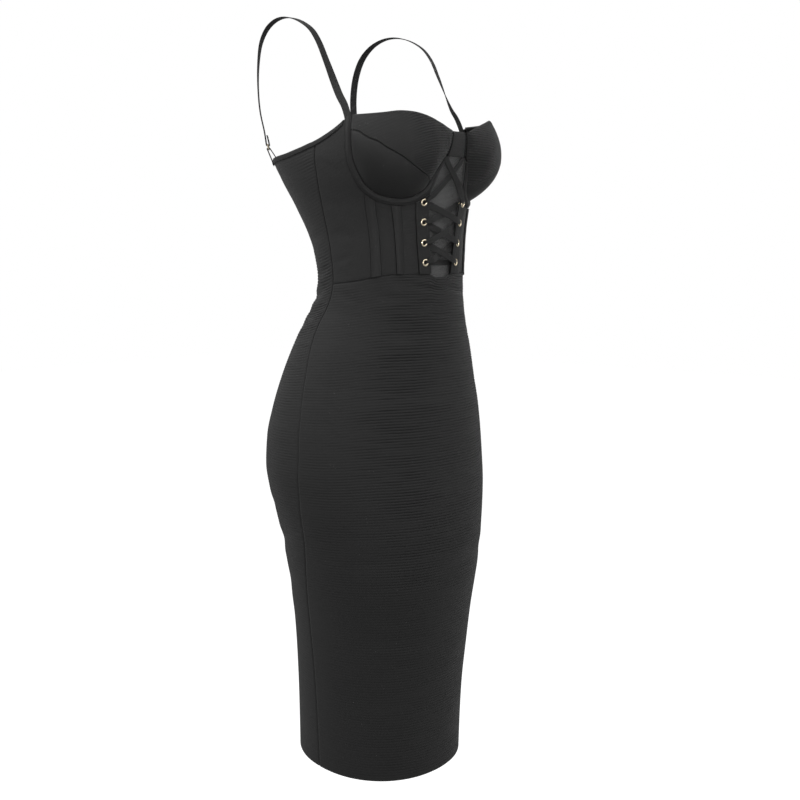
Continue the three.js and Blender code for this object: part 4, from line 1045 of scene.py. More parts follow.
def sewOn(label, node, places, depths, low, keep=None):
    inner = onForm(places, np.full(places.shape[:2], low))
    # The distance in from each edge paints shade along the tape's edges.
    flat = clothRuler(places)["flat"]
    wallPair(label, node, onForm(places, depths), inner, flat, keep=keep, material=smoothKnit)


def channelSides(name):
    channel = bodice["channels"][name]
    lift = -bodice["casingWidth"] / 2 - bodice["tuck"]

    def climb(pair):
        head = besideWire(wireShareAt(pair[0], lift), lift)
        foot = np.array([pair[1], waistHeight(pair[1]) + 1])
        return runThrough(mix(foot, head, np.linspace(0, 1, 25)[:, None]))
    return fourSides(climb(channel["outer"]), climb(channel["inner"]))


def buildChannels():
    low, width = cloth["lift"] + 0.15, bodice["channelWidth"]
    s, t = nearEdges(width, 1, (0.3, 0.8, 1.3, 1.9)), np.linspace(0, 1, 61)
    for name, channel in bodice["channels"].items():
        sides = channelSides(name)
        uneven = 0.14 * softNoise(t * 14, t * 0 + channel["seed"], 9)[:, None] * np.sin(np.pi * s)
        depths = tapeHeights(s, width, low, bodice["channelRise"], bodice["trim"])[None] + uneven
        sewOn(f"{name}_boning_channel", f"{name}_bone_channel", clothPlaces(sides, s, t), depths, low)
        runs = [runAcross(sides, share, t, low + bodice["trim"] - 0.1) for share in (0.1, 0.9)]
        stitchPair(f"{name}_channel_stitches", runs)


def placketSides():
    inset = -bodice["casingWidth"] / 2 - bodice["tuck"]
    placket = bodice["placket"]
    width = placket["width"]

    def underCasing(shift, z):
        return besideWire(wireShareAt(frontAngle(openingX(z) + shift, z), inset), inset)

    def line(shift, topZ):
        z = np.linspace(waistHeight(0) + 1, topZ, 31)
        return runThrough(placesOf(frontAngle(openingX(z) + shift, z), z))
    left = line(-width, underCasing(-width, placket["outer"])[1])
    right = line(0.4, besideWire(openingShare(), inset)[1])
    top = runThrough(np.stack((left(1), underCasing(-width / 2, placket["middle"]), right(1))))
    return fourSides(left, right, top=top)


def buildPlackets():
    width, trim, low = bodice["placket"]["width"], bodice["trim"], cloth["lift"]
    sides, margin = placketSides(), bodice["placket"]["stitches"]
    s, t = nearEdges(width, 0.9, (0.3, 0.8, 1.4)), np.linspace(0, 1, 106)
    places = clothPlaces(sides, s, t)
    keep = cutEyelets(places)
    away = np.minimum(s, 1 - s) * width
    rounding = trim * (0.4 + 0.6 * np.sqrt(np.clip(away / 0.6, 0, 1)))
    groove = 0.15 * np.exp(-((away - margin) / 0.5) ** 2)
    uneven = 0.08 * softNoise(places[..., 0], places[..., 1] / 9, 21)
    sewOn("eyelet_placket_cloth", "eyelet_placket", places, low + rounding - groove + uneven, low, keep)
    runs = [runAcross(sides, share, t, low + trim - 0.08) for share in (margin / width, 1 - margin / width)]
    stitchPair("placket_stitches", runs)


def buildCasings():
    low, width = cloth["lift"] + 0.2, bodice["casingWidth"]
    along = np.linspace(0, bodice["casingEnd"], 181)
    s = nearEdges(width, 0.9, (0.25, 0.6, 1.1, 1.7))
    half = casingHalf(along)[:, None]
    grid = np.broadcast_to(along[:, None], (len(along), len(s)))
    places = besideWire(grid, mix(0.4 - half, half + 0.3, s[None]))
    uneven = 0.1 * softNoise(along * 26, along * 0, 13)[:, None] * np.sin(np.pi * s)
    depths = tapeHeights(s, width, low, bodice["casingRise"], 1)[None] + uneven
    sewOn("underwire_casing_tape", "underwire_casing", places, depths, low)
    along = along[along < 0.8]
    half = casingHalf(along) - 1.5
    stitchPair("casing_stitches", [runOnForm(besideWire(along, side), low + 0.9) for side in (-half, half)])


def buildWaistStitches():
    angle = np.linspace(-91, -24, 91)
    stitchPair("waist_stitches", [runOnForm(placesOf(angle, waistHeight(angle) + 1.8), -0.05)])


buildCorsetFront()
buildChannels()
buildPlackets()
buildCasings()
buildWaistStitches()
print("stage: corset front")


# Cups: arcs that spring from the underwire to the neckline, in two pieces with a seam between.

cups = {
    "fullness": 0.255, "step": 0.001, "relief": 0.55, "overlap": 0.05, "foot": 1.6, "rise": 80,
    "ribPitch": 3.3, "slant": 0.06, "fan": 0.004, "fanFrom": 50, "lit": (0.2, 0.95, -102, -76),
    "seamDip": (1.2, 1.3), "rimDip": 1.1, "uneven": 0.25,
    "seam": table("along up", [
        (0.04, 0.12), (0.06, 0.36), (0.09, 0.54), (0.16, 0.63), (0.275, 0.65), (0.365, 0.6),
        (0.44, 0.54), (0.535, 0.39), (0.62, 0.22), (0.68, 0.08),
    ]),
    "lower": {"rows": 56, "rim": 0.9, "cut": {"flat": (0.15, 0.09), "area": 0.0075}},
    "upper": {"rows": 261, "rim": 0.5, "cut": {"flat": (0.2, 0.12), "area": 0.0125}},
}


def centripetalThrough(rows, perSpan=160):
    ends = np.concatenate(([2 * rows[0] - rows[1]], rows, [2 * rows[-1] - rows[-2]]))
    w = np.linspace(0, 1, perSpan, endpoint=False)[:, None]
    line = []
    for p0, p1, p2, p3 in zip(ends[:-3], ends[1:-2], ends[2:-1], ends[3:]):
        d0, d1, d2 = (np.sum((b - a) ** 2) ** 0.25 for a, b in ((p0, p1), (p1, p2), (p2, p3)))
        leave = ((p1 - p0) / d0 - (p2 - p0) / (d0 + d1) + (p2 - p1) / d1) * d1
        arrive = ((p2 - p1) / d1 - (p3 - p1) / (d1 + d2) + (p3 - p2) / d2) * d1
        line.append(eased(p1, p2, leave, arrive, w))
    return np.concatenate((*line, rows[-1:]))


def evenAlong(line, t):
    reach = reachAlong(line)
    return atReach(np.asarray(t) * reach[-1], reach, line)


necklineLine = centripetalThrough(np.stack([neckline[k] for k in "xyz"], -1))


# Along the underwire and up from it to the neckline, both from 0 to 1.
def cupPoint(along, up):
    foot = besideWire(along, casingHalf(along) + 0.1)
    low = bodyPoint(foot[..., 0], foot[..., 1], 0.4)
    chord = evenAlong(necklineLine, along) - low
    span = np.sum(chord * chord, axis=-1, keepdims=True)
    out = formNormal(foot[..., 0], foot[..., 1])
    out = unit(out - chord * np.sum(out * chord, axis=-1, keepdims=True) / span)
    up = np.asarray(up, float)[..., None]
    return low + chord * up + out * cups["fullness"] * np.sqrt(span) * 4 * up * (1 - up)


def cupNormal(along, up):
    step = 0.01
    across = cupPoint(np.clip(along + step, 0, 1), up) - cupPoint(np.clip(along - step, 0, 1), up)
    rise = cupPoint(along, np.clip(up + step, -0.1, 1)) - cupPoint(along, np.clip(up - step, -0.1, 1))
    return unit(np.cross(across, rise))


def cupSpan(along):
    return np.linalg.norm(cupPoint(along, along * 0 + 1) - cupPoint(along, along * 0), axis=-1)


def cupSeamHeight(along):
    rows = cups["seam"]
    first, last = rows["along"][0], rows["along"][-1]
    end = np.where(along < 0.4, 0, -1)
    faded = rows["up"][end] * np.clip(1 - np.abs(along - rows["along"][end]) / cups["step"], 0, 1)
    return np.where((along > first) & (along < last), readTable(rows, "along", "up", along), faded)


# How deep the cloth lies in a rib valley of the cup; the ribs fan out a little towards the armhole.
def cupRibs(points, across, inside):
    aside = np.abs(points[..., 0])
    fan = cups["slant"] * aside + cups["fan"] * np.maximum(aside - cups["fanFrom"], 0) ** 2
    wavy = 0.16 * softNoise(across / 22, points[..., 2] / 14, 31)
    phase = (points[..., 2] + fan) / cups["ribPitch"] + wavy
    least, most, dull, lit = cups["lit"]
    valley = (0.5 + 0.5 * np.cos(2 * np.pi * phase)) ** 3 * smoothStep(inside, 1, 5)
    return valley * (least + most * smoothStep(-aside, dull, lit))


def cupPiece(part, steps, low, high):
    ribbed, look = part == "upper", cups[part]
    t = nearEdges(cups["rise"], cups["rise"] / look["rows"], (0.4, 0.9, 1.6, 2.6))
    along = np.broadcast_to(steps, (len(t), len(steps)))
    up = mix(low[None], high[None], t[:, None])
    points, normals = cupPoint(along, up), cupNormal(along, up)
    acrossCup, upCup = gridReach(points)
    downCup = upCup[-1:] - upCup
    fromSeam, fromRim = (upCup, downCup) if ribbed else (downCup, upCup)
    sewn = ((low if ribbed else high) > 0)[None]
    dip, reach = cups["seamDip"]
    depth = -dip * np.exp(-(fromSeam / reach) ** 2) * sewn
    depth = depth - look["rim"] * np.exp(-(fromRim / cups["rimDip"]) ** 2)
    # Painted shade: the seam and the rib valleys are drawn dark, and where the cup stands on the wire a dark
    # line runs along its foot beside the casing.
    shadeDepth = fromSeam
    if ribbed:
        valley = cupRibs(points, acrossCup, np.minimum(fromSeam, fromRim))
        depth = depth - cups["relief"] * valley
        shadeDepth = np.minimum(fromSeam, clearCloth - valley)
    onWire = (low < 0)[None]
    shadeDepth = np.where(onWire, np.minimum(shadeDepth, upCup - cups["foot"]), shadeDepth)
    uneven = softNoise(acrossCup / 28, upCup / 24, 33) * smoothStep(fromSeam, 0, 14)
    outer = points + normals * (depth + cups["uneven"] * uneven)[..., None]
    middle = acrossCup.shape[1] // 2
    flat = np.stack((acrossCup - acrossCup[:, middle:middle + 1], upCup, shadeDepth), -1)
    wallPair(f"{part}_cup_knit" if ribbed else f"{part}_cup_cloth", f"{part}_cup", outer,
             points - normals * cloth["cupWall"], flat, look["cut"], rowStep=4 if ribbed else 1,
             material=ribKnit if ribbed else smoothKnit)


def buildCups():
    first, last = cups["seam"]["along"][0], cups["seam"]["along"][-1]
    body = np.concatenate((np.linspace(first, first + 0.05, 9)[:-1], np.linspace(first + 0.05, last, 110)))
    length = cupSpan(body)
    cupPiece("lower", body, -cups["foot"] / length, cupSeamHeight(body) + cups["overlap"] / length)
    steps = np.concatenate((
        np.linspace(0, first - cups["step"], 6), body, np.linspace(last + cups["step"], 1, 70)))
    seam, length = cupSeamHeight(steps), cupSpan(steps)
    low = np.where(seam > 0, seam - cups["overlap"] / length, -cups["foot"] / length)
    cupPiece("upper", steps, low, steps * 0 + 1)
    rim, beside = np.linspace(0.02, 0.985, 160), np.linspace(first + 0.05, last - 0.04, 90)
    lines = ((rim, 1 - 2.6 / cupSpan(rim)), (beside, cupSeamHeight(beside) + 2.2 / cupSpan(beside)))
    stitchPair("cup_stitches", [(cupPoint(*line), cupNormal(*line)) for line in lines])


buildCups()
print("stage: cups")


# Bridge between the cups, and the sheer panel behind the lacing.

middlePieces = {
    "bridge": {
        "top": -158.5, "low": -192, "ribs": 9, "relief": 0.3, "shadow": 4.0, "across": (26, 1.4),
        "cut": {"flat": (0.042, 0.036), "area": 0.0012},
    },
    "sheer": {
        "half": table("z half", [(-350, 29), (-256, 42), (-232, 38), (-200, 27), (-184, 23)]),
        "low": -356, "top": -184, "depths": (-5.1, -5.6), "cut": {"flat": (0.085, 0.165), "area": 0.011},
    },
}


def buildBridge():
    bridge = middlePieces["bridge"]
    wire = besideWire(np.linspace(0.7, 1, 301), -cloth["lift"] / 3)

    def wireAngle(z):
        return np.interp(z, wire[:, 1], wire[:, 0])
    z = np.linspace(bridge["low"], bridge["top"], 21)
    sides = fourSides(runThrough(placesOf(wireAngle(z), z)), runThrough(placesOf(-wireAngle(z), z)))
    places = clothPlaces(sides, nearEdges(*bridge["across"]), ribRows(bridge["ribs"]))
    outer, inner, flat = panelWalls(places, bridge["ribs"], bridge["relief"], ("left", "right"),
                                    rolled=("left", "right", "top", "bottom"))
    # Painted shadow: a dark band runs along both edges of the bridge, beside the cups.
    flat[..., 2] = np.clip(clothRuler(places)["flat"][..., 2] - bridge["shadow"], 0, clearCloth)
    piece = wallPiece("centre_bridge_knit", outer, inner, flat, rowStep=4, material=ribKnit,
                      nodes=["centre_bridge"])
    z = np.linspace(bridge["low"] + 3, bridge["top"] - 3, 20)
    half = formPoint(wireAngle(z), z)[:, 0] + 2
    lines = ((-half, z), (half, z), (np.linspace(-14, 14, 12), bridge["top"] - 2))
    stitchPiece("bridge_stitches", [runOnForm(placesOf(frontAngle(x, at), at), 0) for x, at in lines])


def buildSheerPanel():
    sheer = middlePieces["sheer"]
    z = np.linspace(sheer["low"], sheer["top"], 41)
    edge = frontAngle(readTable(sheer["half"], "z", "half", z), z)
    s, t = np.linspace(0, 1, 41), np.linspace(0, 1, 81)
    places = clothPlaces(fourSides(runThrough(placesOf(-edge, z)), runThrough(placesOf(edge, z))), s, t)
    flat = clothRuler(places)["flat"]
    slack = 0.35 * softNoise(flat[..., 0] / 16, flat[..., 1] / 9, 41)
    slack = slack * np.sin(np.pi * s)[None] * np.sin(np.pi * t)[:, None]
    outer, inner = (onForm(places, depth + slack) for depth in sheer["depths"])
    wallPiece("sheer_net_panel", outer, inner, flat, material=sheerNet, nodes=["sheer_panel"])


buildBridge()
buildSheerPanel()


# Tapes: a section swept along stations that each have a point, a side and a way out.

def sweep(name, at, side, out, section, material, nodes=(), mirror=False):
    count, size = len(at), section.shape[-2]
    shapes = np.broadcast_to(section, (count, size, 2))
    points = at[:, None] + side[:, None] * shapes[..., :1] + out[:, None] * shapes[..., 1:]
    base = np.arange(count - 1)[:, None] * size
    a = (base + np.arange(size)).ravel()
    b = (base + (np.arange(size) + 1) % size).ravel()
    faces = [tuple(q) for q in np.stack((a, b, b + size, a + size), -1).tolist()]
    faces.append(tuple(reversed(range(size))))
    faces.append(tuple(range((count - 1) * size, count * size)))
    x, y = shapes[0].T
    turning = np.sum(x * np.roll(y, -1) - y * np.roll(x, -1))
    handed = np.dot(np.cross(side[0], out[0]), at[1] - at[0])
    if (turning * handed < 0) != mirror:
        faces = [tuple(reversed(f)) for f in faces]
    flat = np.full((count, size, 3), 6 * clearCloth)
    flat[..., 0] = shapes[..., 0]
    flat[..., 1] = reachAlong(at)[:, None]
    points = points.reshape(-1, 3) * ((-1, 1, 1) if mirror else 1)
    return addPiece(name, points, faces, material, nodes, flat.reshape(-1, 3))


def tapeSection(width, wall, corner=0.45):
    bend = min(corner, wall / 2 - 0.01)
    half, deep = width / 2 - corner, wall / 2 - bend
    points = []
    for cx, cy, start in ((half, deep, 0), (-half, deep, 90), (-half, -deep, 180), (half, -deep, 270)):
        for turn in np.radians(np.linspace(start, start + 90, 4)):
            points.append((cx + corner * math.cos(turn), cy + bend * math.sin(turn)))
        if start in (0, 180):
            face = 1 if start == 0 else -1
            points += [(x * face, (deep + bend) * face) for x in np.linspace(half, -half, 7)[1:-1]]
    return np.array(points)


binding = {"width": 6, "arc": (-0.65, -0.75), "outer": 2.05, "inner": 1.1, "end": 0.77}


def bindingSection():
    cx, cy = binding["arc"]
    outer, inner, low = binding["outer"], binding["inner"], -binding["width"]
    turn = np.radians(np.linspace(90, -90, 9))
    outside = [(cx + outer * math.cos(a), cy + outer * math.sin(a)) for a in turn]
    inside = [(cx + inner * math.cos(a), cy + inner * math.sin(a)) for a in turn[::-1]]
    top, lift = cy + outer, cy + inner
    steps = ((0, lift + 0.3), (0.3, top - 0.15), (1, top), (1.7, top - 0.12), (2.4, top))
    groove = [(low + x, y) for x, y in steps]
    base = [(low + 1, cy - outer), (low, cy - outer + 0.3), (low, cy - inner)]
    return np.array(groove + outside + base + inside + [(low, lift)])


def bindingLine():
    rows = []
    for four, end, count in ((backSides(), 1, 61), (sideFrontSides(), binding["end"], 25)):
        rows.append(clothPlaces(four, np.linspace(0, end, count), np.array([1 - 1 / 120, 1.0])))
    below, top = (np.concatenate((rows[0][k][:-1], rows[1][k])) for k in (0, 1))
    at = bodyPoint(top[:, 0], top[:, 1])
    up = unit(at - bodyPoint(below[:, 0], below[:, 1]))
    out = formNormal(top[:, 0], top[:, 1])
    return at, up, unit(out - up * np.sum(out * up, axis=1, keepdims=True))


def buildBindings():
    at, up, out = bindingLine()
    for side, mirror in bothSides:
        sweep(f"{side}_top_binding_tape", at, up, out, bindingSection(), smoothKnit,
              [f"{side}_top_binding"], mirror)
    top = binding["arc"][1] + binding["outer"]
    stitchPair("binding_stitches", [(at + up * (1.7 - binding["width"]) + out * (top - 0.08), out)])


straps = {
    "width": 10, "wall": 1.2, "tabWall": 1.0, "ring": (-95, 53.5, -170.5), "bar": 3.3, "fold": 2.05,
    "tab": {"x": -95.0, "y": 45.0, "z": -190.0, "outerLift": 2.3, "outerDrops": (6, 4.5, 3, 1),
            "innerLift": -4.8, "innerDrops": (-1, 1, 3.5, 6)},
    "end": {"rise": 13, "lean": 0.2, "half": 3.6, "sink": -0.6, "across": (3, 10.5)},
    "foot": {"shift": -1.6, "depth": -3.2, "shares": (0.045, 0.015)},
    "onShoulder": (-0.97, 0.22, 0.0),
    "path": table("x y z", [
        (-118.8, -119, -128), (-118, -108, -112), (-118, -84.3, -65.2),
        (-118, -71, -40), (-117, -57, -23), (-116, -39.6, -11.5), (-115, -21.3, -4), (-113.5, 0, 0),
        (-111, 20.2, -2), (-108, 40, -11), (-104.5, 56, -28), (-101, 65.5, -54), (-99, 69, -86),
        (-98, 66.5, -120), (-96, 60, -150),
    ]),
}


def ringFrame():
    tab = straps["tab"]
    foot = angleOf(np.array([tab["x"], tab["y"], tab["z"]]))
    out = formNormal(foot, tab["z"])
    side = unit(np.cross((0, 0, 1), out))
    return foot, out, side, unit(np.cross(out, side))


# Half turn round a bar of the strap ring.
def foldRound(height, direction, count=13):
    _, out, _, up = ringFrame()
    swing = np.pi * np.linspace(0, 1, count)[:, None]
    return (np.array(straps["ring"]) + up * (height - direction * straps["fold"] * np.sin(swing))
            + out * straps["fold"] * np.cos(swing))


def runAlong(points):
    after = np.concatenate((points[1:], points[-1:]))
    before = np.concatenate((points[:1], points[:-1]))
    return unit(after - before)


def stationsAt(points, wide):
    run = runAlong(points)
    side = unit(wide - run * np.sum(wide * run, axis=1, keepdims=True))
    return points, side, unit(np.cross(run, side))


def buildStraps():
    foot, out, across, up = ringFrame()
    fold = foldRound(straps["bar"], 1)
    end, start, tab = straps["end"], straps["foot"], straps["tab"]
    tail = up * end["rise"] + out * end["lean"]
    first = onForm(besideWire(start["shares"], start["shift"]), start["depth"])
    rows = np.concatenate((first, np.stack([straps["path"][k] for k in "xyz"], -1), fold[:1]))
    over = evenAlong(centripetalThrough(rows, 60), np.linspace(0, 1, 201))
    path = np.concatenate((over[:-1], fold, fold[-1] + np.outer(np.linspace(0, 1, 9)[1:], tail)))
    share = np.minimum(1, np.arange(len(path)) / 200)[:, None]
    flat = -np.cross((0, 0, 1), formNormal(*underwirePlaces[0]))
    onShoulder = mix(flat, np.array(straps["onShoulder"]), smoothStep(share, 0.06, 0.3))
    strap = stationsAt(path, mix(onShoulder, across, smoothStep(share, 0.4, 0.85)))

    def tabEnd(drops, lift):
        return [bodyPoint(foot, tab["z"] - drop, lift) for drop in drops]
    loop = np.concatenate((tabEnd(tab["outerDrops"], tab["outerLift"]), foldRound(-straps["bar"], -1),
                           tabEnd(tab["innerDrops"], tab["innerLift"])))
    loop = stationsAt(loop, np.broadcast_to(across, loop.shape))
    thick, thin = (tapeSection(straps["width"], straps[wall]) for wall in ("wall", "tabWall"))
    for side, mirror in bothSides:
        sweep(f"{side}_strap_elastic", *strap, thick, strapTape, [f"{side}_strap"], mirror)
        sweep(f"{side}_ring_tab", *loop, thin, strapTape, [f"{side}_strap_tab"], mirror)
    half, inside = end["half"], fold[-1] + out * end["sink"]
    down, over = np.outer(np.linspace(0.15, 0.9, 12), tail), np.outer(np.linspace(-half, half, 12), across)
    lines = [inside + across * shift + down for shift in (-half, half)]
    lines += [inside + up * rise + over for rise in end["across"]]
    stitchPair("strap_end_stitches", [(line, np.broadcast_to(-out, line.shape)) for line in lines])


buildBindings()
buildStraps()
print("stage: bindings and straps")


# Turned parts.

def turnedPiece(name, profile, origin, side, up, out, material, nodes, steps=40):
    turn = np.arange(steps) * 2 * np.pi / steps
    spoke = side[None] * np.cos(turn)[:, None] + up[None] * np.sin(turn)[:, None]
    points = origin + spoke[:, None] * profile[None, :, :1] + out * profile[None, :, 1:]
    size = len(profile)
    around, beside = np.arange(steps)[:, None] * size, np.arange(size)
    after, above = (around + size) % (steps * size), (beside + 1) % size
    cells = np.stack((around + beside, around + above, after + above, after + beside), -1).reshape(-1, 4)
    x, y = profile.T
    if np.sum(x * np.roll(y, -1) - y * np.roll(x, -1)) > 0:
        cells = cells[:, ::-1]
    return addPiece(name, points.reshape(-1, 3), [tuple(f) for f in cells.tolist()], material, nodes)


def buildEyelets():
    face = bodice["trim"] + 2.5 * cloth["lift"]
    back = -cloth["wall"] - cloth["lift"]
    hole, radius = eyelets["hole"], eyelets["radius"]
    middle, width = (hole + radius) / 2, (radius - hole) / 2
    arc = np.radians(np.linspace(180, 0, 11))
    dome = [(middle + width * math.cos(a), face + 0.12 + 0.95 * math.sin(a)) for a in arc]
    profile = np.array([
        (hole, back - 0.4), *dome, (radius - 0.12, face), (hole + 0.6, face), (hole + 0.6, back),
        (radius - 0.5, back), (radius - 0.4, back - 0.25), (radius - 0.6, back - 0.5),
        (hole + 0.12, back - 0.5),
    ])
    for number, (x, z) in enumerate(eyelets["rows"], 1):
        for label, mirror in bothSides:
            angle = frontAngle(x if mirror else -x, z)
            out = formNormal(angle, z)
            side = unit(-np.cross((0, 0, 1), out))
            turnedPiece(f"{label}_eyelet_ring_{number}", profile, formPoint(angle, z), side,
                        np.cross(out, side), out, eyeletGold, [f"{label}_eyelet_{number}"])


# One lace: down over and under from the corners of the bridge, and joined behind the last eyelets.

lacing = {
    "width": 9, "wall": 1, "corner": 0.42, "neck": 3.2, "over": 3.5, "under": -3.1, "start": (15.5, -199),
    "overMiddles": (2.2, -0.9, -0.9, -0.9), "underMiddles": (0.2, 1.1, 1.1, 1.1), "spread": 1.25,
    "ends": ((20, -186, -2.7), (17.5, -195, -2.4)), "bar": (-0.93, -0.78, -0.4, 0.4, 0.78, 0.93), "steps": 5,
}


def laceStation(x, z, depth, width, sunk=False):
    angle = frontAngle(x, z)
    return {"at": bodyPoint(angle, z, depth), "out": formNormal(angle, z), "width": width, "sunk": sunk}


# Down through an eyelet, with the tape on edge.
def laceDown(eyelet, sign):
    x, z = eyelet
    return [laceStation(sign * (x - 0.5), z, depth, lacing["neck"], True) for depth in (0.8, -1.4)]


def laceCrossing(start, end, sign, steps):
    stations = [
        laceStation(mix(-sign * start[0], sign * end[0], t), mix(start[1], end[1], t), depth, width)
        for t, depth, width in steps
    ]
    return stations + laceDown(end, sign)


def laceSteps(start, end, middle):
    reach = start[0] + end[0]
    over, under, wide, neck = lacing["over"], lacing["under"], lacing["width"], lacing["neck"]
    return [
        (2.2 / reach, under - 0.3, neck), (7 / reach, under, wide), (0.34, middle - 1, wide),
        (0.5, middle, wide), (0.66, middle + 1.2, wide), (1 - 11.5 / reach, over + 0.2, wide),
        (1 - 6.4 / reach, over + 0.2, wide * 0.8), (1 - 2 / reach, over, neck),
    ]


def laceHalf(sign, middles):
    wide, over = lacing["width"], lacing["over"]
    spread = wide * (lacing["spread"] if sign > 0 else 1)
    stations = [laceStation(-sign * x, z, depth, wide) for x, z, depth in lacing["ends"]]
    stations += laceCrossing(lacing["start"], eyelets["rows"][0], sign, [
        (0.3, middles[0], wide), (0.55, middles[0] + 1.4, spread), (0.84, over + 0.3, spread * 0.9),
        (0.975, over, lacing["neck"]),
    ])
    for start, end, middle in zip(eyelets["rows"][:-1], eyelets["rows"][1:], middles[1:]):
        sign = -sign
        stations += laceCrossing(start, end, sign, laceSteps(start, end, middle))
    return stations


# Straight spans with their corners eased, so that the tape keeps clear of what it passes.
def easedCorners(rows, steps):
    leave = np.zeros_like(rows)
    span = np.diff(rows, axis=0)
    length = np.linalg.norm(span[:, :3], axis=1, keepdims=True)
    slope = span / length
    leave[1:-1] = (slope[:-1] * length[1:] + slope[1:] * length[:-1]) / (length[1:] + length[:-1])
    leave[0], leave[-1] = slope[0], slope[-1]
    w = np.linspace(0, 1, steps, endpoint=False)[:, None]
    line = []
    for here, after, a, b, reach in zip(rows[:-1], rows[1:], leave[:-1], leave[1:], length):
        line.append(mix(mix(here, after, w), eased(here, after, a * reach, b * reach, w), 0.6))
    return np.concatenate((*line, rows[-1:]))


def buildLace():
    x, z = eyelets["rows"][-1]
    wide, neck = lacing["width"], lacing["neck"]
    bar = [laceStation(t * x, z, lacing["under"] - 0.3, neck if abs(t) > 0.8 else wide * 0.75)
           for t in lacing["bar"]]
    stations = laceHalf(1, lacing["overMiddles"]) + bar + laceHalf(-1, lacing["underMiddles"])[::-1]
    at = np.array([s["at"] for s in stations])
    upright = np.array([0.0, 0.0, 1.0])
    side = []
    for station, run in zip(stations, runAlong(at)):
        flat = upright - run * (upright @ run) if station["sunk"] else np.cross(station["out"], run)
        side.append(unit(flat * np.sign(flat[2])))
    rows = np.concatenate((at, side, [[s["width"]] for s in stations]), axis=1)
    fine = easedCorners(rows, lacing["steps"])
    at, side = fine[:, :3], unit(fine[:, 3:6])
    run = unit(np.gradient(at, axis=0))
    side = unit(side - run * np.sum(side * run, axis=1, keepdims=True))
    sections = np.array([tapeSection(width, lacing["wall"], lacing["corner"]) for width in fine[:, 6]])
    sweep("lace_tape", at, side, np.cross(run, side), sections, laceTape, ["lace"])
    print(f"stage: lacing, {reachAlong(at)[-1]:.0f} mm of tape")


buildEyelets()
buildLace()


# Zip at the centre back: a tape behind the edges, paired teeth, and the metal slider and tab.

zipParts = {
    "tapeHalf": 12, "tapeFoot": 12, "tapeDepths": (-2.1, -3.1), "depths": (0.1, -1.5), "chainTop": -209,
    "tongue": {"rise": 7, "half": 3.1, "start": 0.4},
    "tooth": {"pitch": 1.5, "length": 2.4, "width": 1.0, "nose": 0.55,
              "swell": ((0, 0.55), (0.3, 1), (1, 0.8)), "crest": 0.7, "order": (0, 2, 4, 5, 3, 1)},
}


def buildZipTape():
    tongue, top = zipParts["tongue"], edges["zipTop"]
    z = np.concatenate((np.linspace(edges["zipBottom"] - zipParts["tapeFoot"], top, 61),
                        (top + tongue["start"], top + tongue["rise"])))
    half = np.where(z > top, tongue["half"], zipParts["tapeHalf"])
    places = placesOf(backAngle(np.linspace(-1, 1, 9) * half[:, None], z[:, None]), z[:, None])
    outer, inner = (onForm(places, np.full(places.shape[:2], depth)) for depth in zipParts["tapeDepths"])
    wallPiece("zip_tape_cloth", outer, inner, clothRuler(places)["flat"], material=zipTapeCloth,
              nodes=["zip_tape"])


def toothPoints(level, sign):
    tooth = zipParts["tooth"]
    high, low = zipParts["depths"]
    angle = backAngle(0, level)
    out, base = formNormal(angle, level), formPoint(angle, level)
    side = np.array([1.0, 0, 0])
    up = -np.cross(side, out)
    points = []
    for share, thin in tooth["swell"]:
        x = sign * (share * tooth["length"] - tooth["nose"])
        for depth, wide in ((low + 0.1, 1), ((low + high) / 2, 1), (high, tooth["crest"])):
            half = tooth["width"] / 2 * thin * wide
            points += [base + side * x + out * depth + up * edge for edge in (-half, half)]
    return points


def buildZipTeeth():
    order = zipParts["tooth"]["order"]
    size = len(order)
    levels = np.arange(edges["zipBottom"] + 2, zipParts["chainTop"], zipParts["tooth"]["pitch"])
    points, faces = [], []
    for number, z in enumerate(levels):
        a, sign = len(points), 1 if number % 2 else -1
        points += toothPoints(z, sign)
        mesh = [(low + p, low + q, low + size + q, low + size + p)
                for low in (a, a + size) for p, q in zip(order, order[1:] + order[:1])]
        mesh += [tuple(a + k for k in reversed(order)), tuple(a + 2 * size + k for k in order)]
        faces += mesh if sign > 0 else [tuple(reversed(f)) for f in mesh]
    addPiece("zip_teeth_chain", np.array(points), faces, zipGold, ["zip_teeth"], sharp=35)


def finishMetalNodes():
    for name in ("right_strap_ring", "left_strap_ring", "zip_slider", "zip_pull_tab"):
        node = frame["nodes"][name]
        node.data.materials.clear()
        node.data.materials.append(eyeletGold if "ring" in name else zipGold)
        edge = node.modifiers.new("rounded_edges", "BEVEL")
        edge.width = 0.35 * toMetres
        edge.segments = 3
        edge.limit_method = "ANGLE"
        node.data.shade_smooth()
        node.data.set_sharp_from_angle(angle=math.radians(30))


buildZipTape()
buildZipTeeth()
finishMetalNodes()
print("stage: zip and metal")


# Studio: pale floor, soft light from both sides and a camera at the photograph's angle.

def seenByCamera(tree):
    return addNode(tree, "LightPath").outputs["Is Camera Ray"]


def buildFloor():
    mesh = bpy.data.meshes.new("studio_floor")
    half, z = studio["floorHalf"], studio["floor"] * toMetres
    corners = [(x * half, y * half, z) for x, y in ((-1, -1), (1, -1), (1, 1), (-1, 1))]
    mesh.from_pydata(corners, [], [(0, 1, 2, 3)])
    material, tree, looks = newMaterial("pale_floor", Roughness=0.9, Emission_Color=grey(1))
    plug(tree, addMix(tree, objectNoise(tree, Scale=2), grey(0.33), grey(0.35)), looks["Base Color"])
    plug(tree, addMath(tree, "MULTIPLY", seenByCamera(tree), studio["floorGlow"]), looks["Emission Strength"])
    mesh.materials.append(material)
    addToScene("studio_floor", mesh)


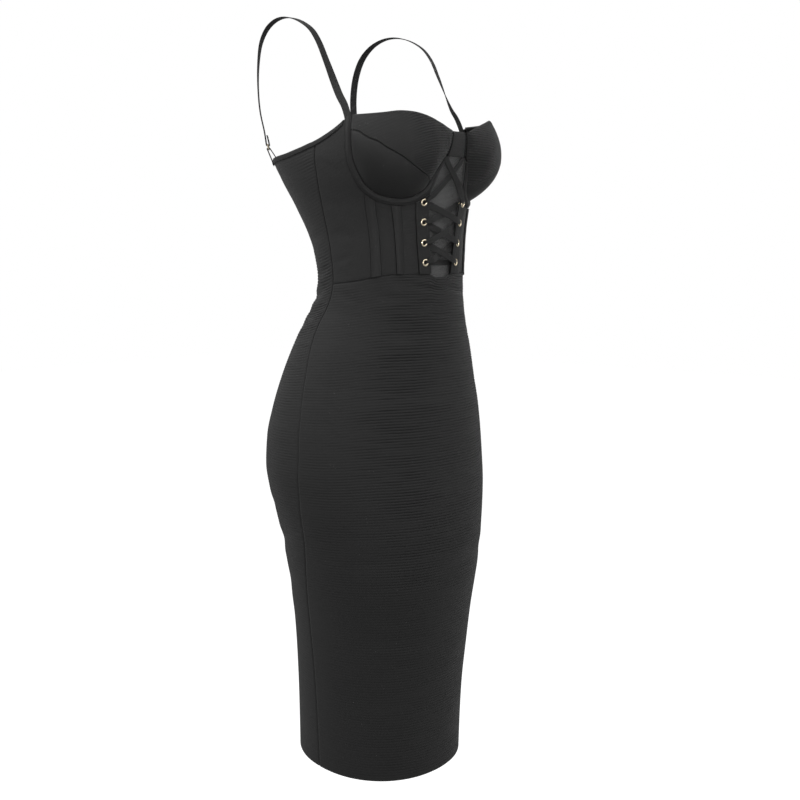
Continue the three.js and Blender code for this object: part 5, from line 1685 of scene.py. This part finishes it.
def softBox(name, where, size, power, target, spread):
    data = bpy.data.lights.new(name, "AREA")
    data.shape = "RECTANGLE"
    data.size, data.size_y = size
    data.energy = power
    data.spread = math.radians(spread)
    light = addToScene(name, data)
    light.location = where
    light.rotation_euler = (Vector(target) - Vector(where)).to_track_quat("-Z", "Y").to_euler()


# Each light: place and size in metres, watts, what it looks at, and how wide it spreads.
dressMiddle = (0, -0.11, -0.5)
lights = {
    "left_softbox": ((-1.85, 1.35, 1.6), (1.3, 1.6), 66, dressMiddle, 180),
    "right_softbox": ((2.0, -1.5, 1.7), (0.9, 1.4), 12, dressMiddle, 180),
    "far_front_fill": ((0.9, -2.1, 1.4), (1.0, 1.0), 12, dressMiddle, 180),
    "front_fill": ((-1.0, -1.95, 1.5), (1.8, 1.8), 31, dressMiddle, 180),
    "bodice_fill": ((-0.85, -1.1, -0.35), (0.6, 0.6), 5.6, (0, -0.15, -0.2), 180),
    "cup_fill": ((-0.75, -1.25, -0.3), (0.25, 0.25), 0.08, (0.13, -0.2, -0.2), 14),
}


def buildCamera():
    azimuth, pitch = math.radians(studio["azimuth"]), math.radians(studio["pitch"])
    aside, ahead = math.sin(azimuth), math.cos(azimuth)
    look = Vector((-aside * math.cos(pitch), ahead * math.cos(pitch), -math.sin(pitch)))
    data = bpy.data.cameras.new("photo_camera")
    data.sensor_width = 36
    data.lens = data.sensor_width * studio["focalPixels"] / studio["framePixels"]
    camera = addToScene("photo_camera", data)
    (x, y), away = studio["formCentre"], studio["distance"]
    camera.location = Vector((x + away * aside, y - away * ahead, studio["eyeHeight"])) * toMetres
    camera.rotation_euler = look.to_track_quat("-Z", "Y").to_euler()
    bpy.context.scene.camera = camera


def buildStudio():
    buildFloor()
    buildCamera()
    world = bpy.data.worlds.new("soft_studio")
    world.use_nodes = True
    tree, sky = world.node_tree, studio["sky"]
    shade = tree.nodes["Background"].inputs
    plug(tree, grey(1), shade["Color"])
    plug(tree, addMath(tree, "MULTIPLY_ADD", seenByCamera(tree), 1 - sky, sky), shade["Strength"])
    bpy.context.scene.world = world
    bpy.context.scene.view_settings.view_transform = "Standard"
    for name, light in lights.items():
        softBox(name, *light)


def clearStart():
    for name in ("Cube", "Light", "Camera"):
        thing = bpy.data.objects.get(name)
        if thing and "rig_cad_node" not in thing:
            bpy.data.objects.remove(thing)


clearStart()
buildStudio()
print("stage: studio")
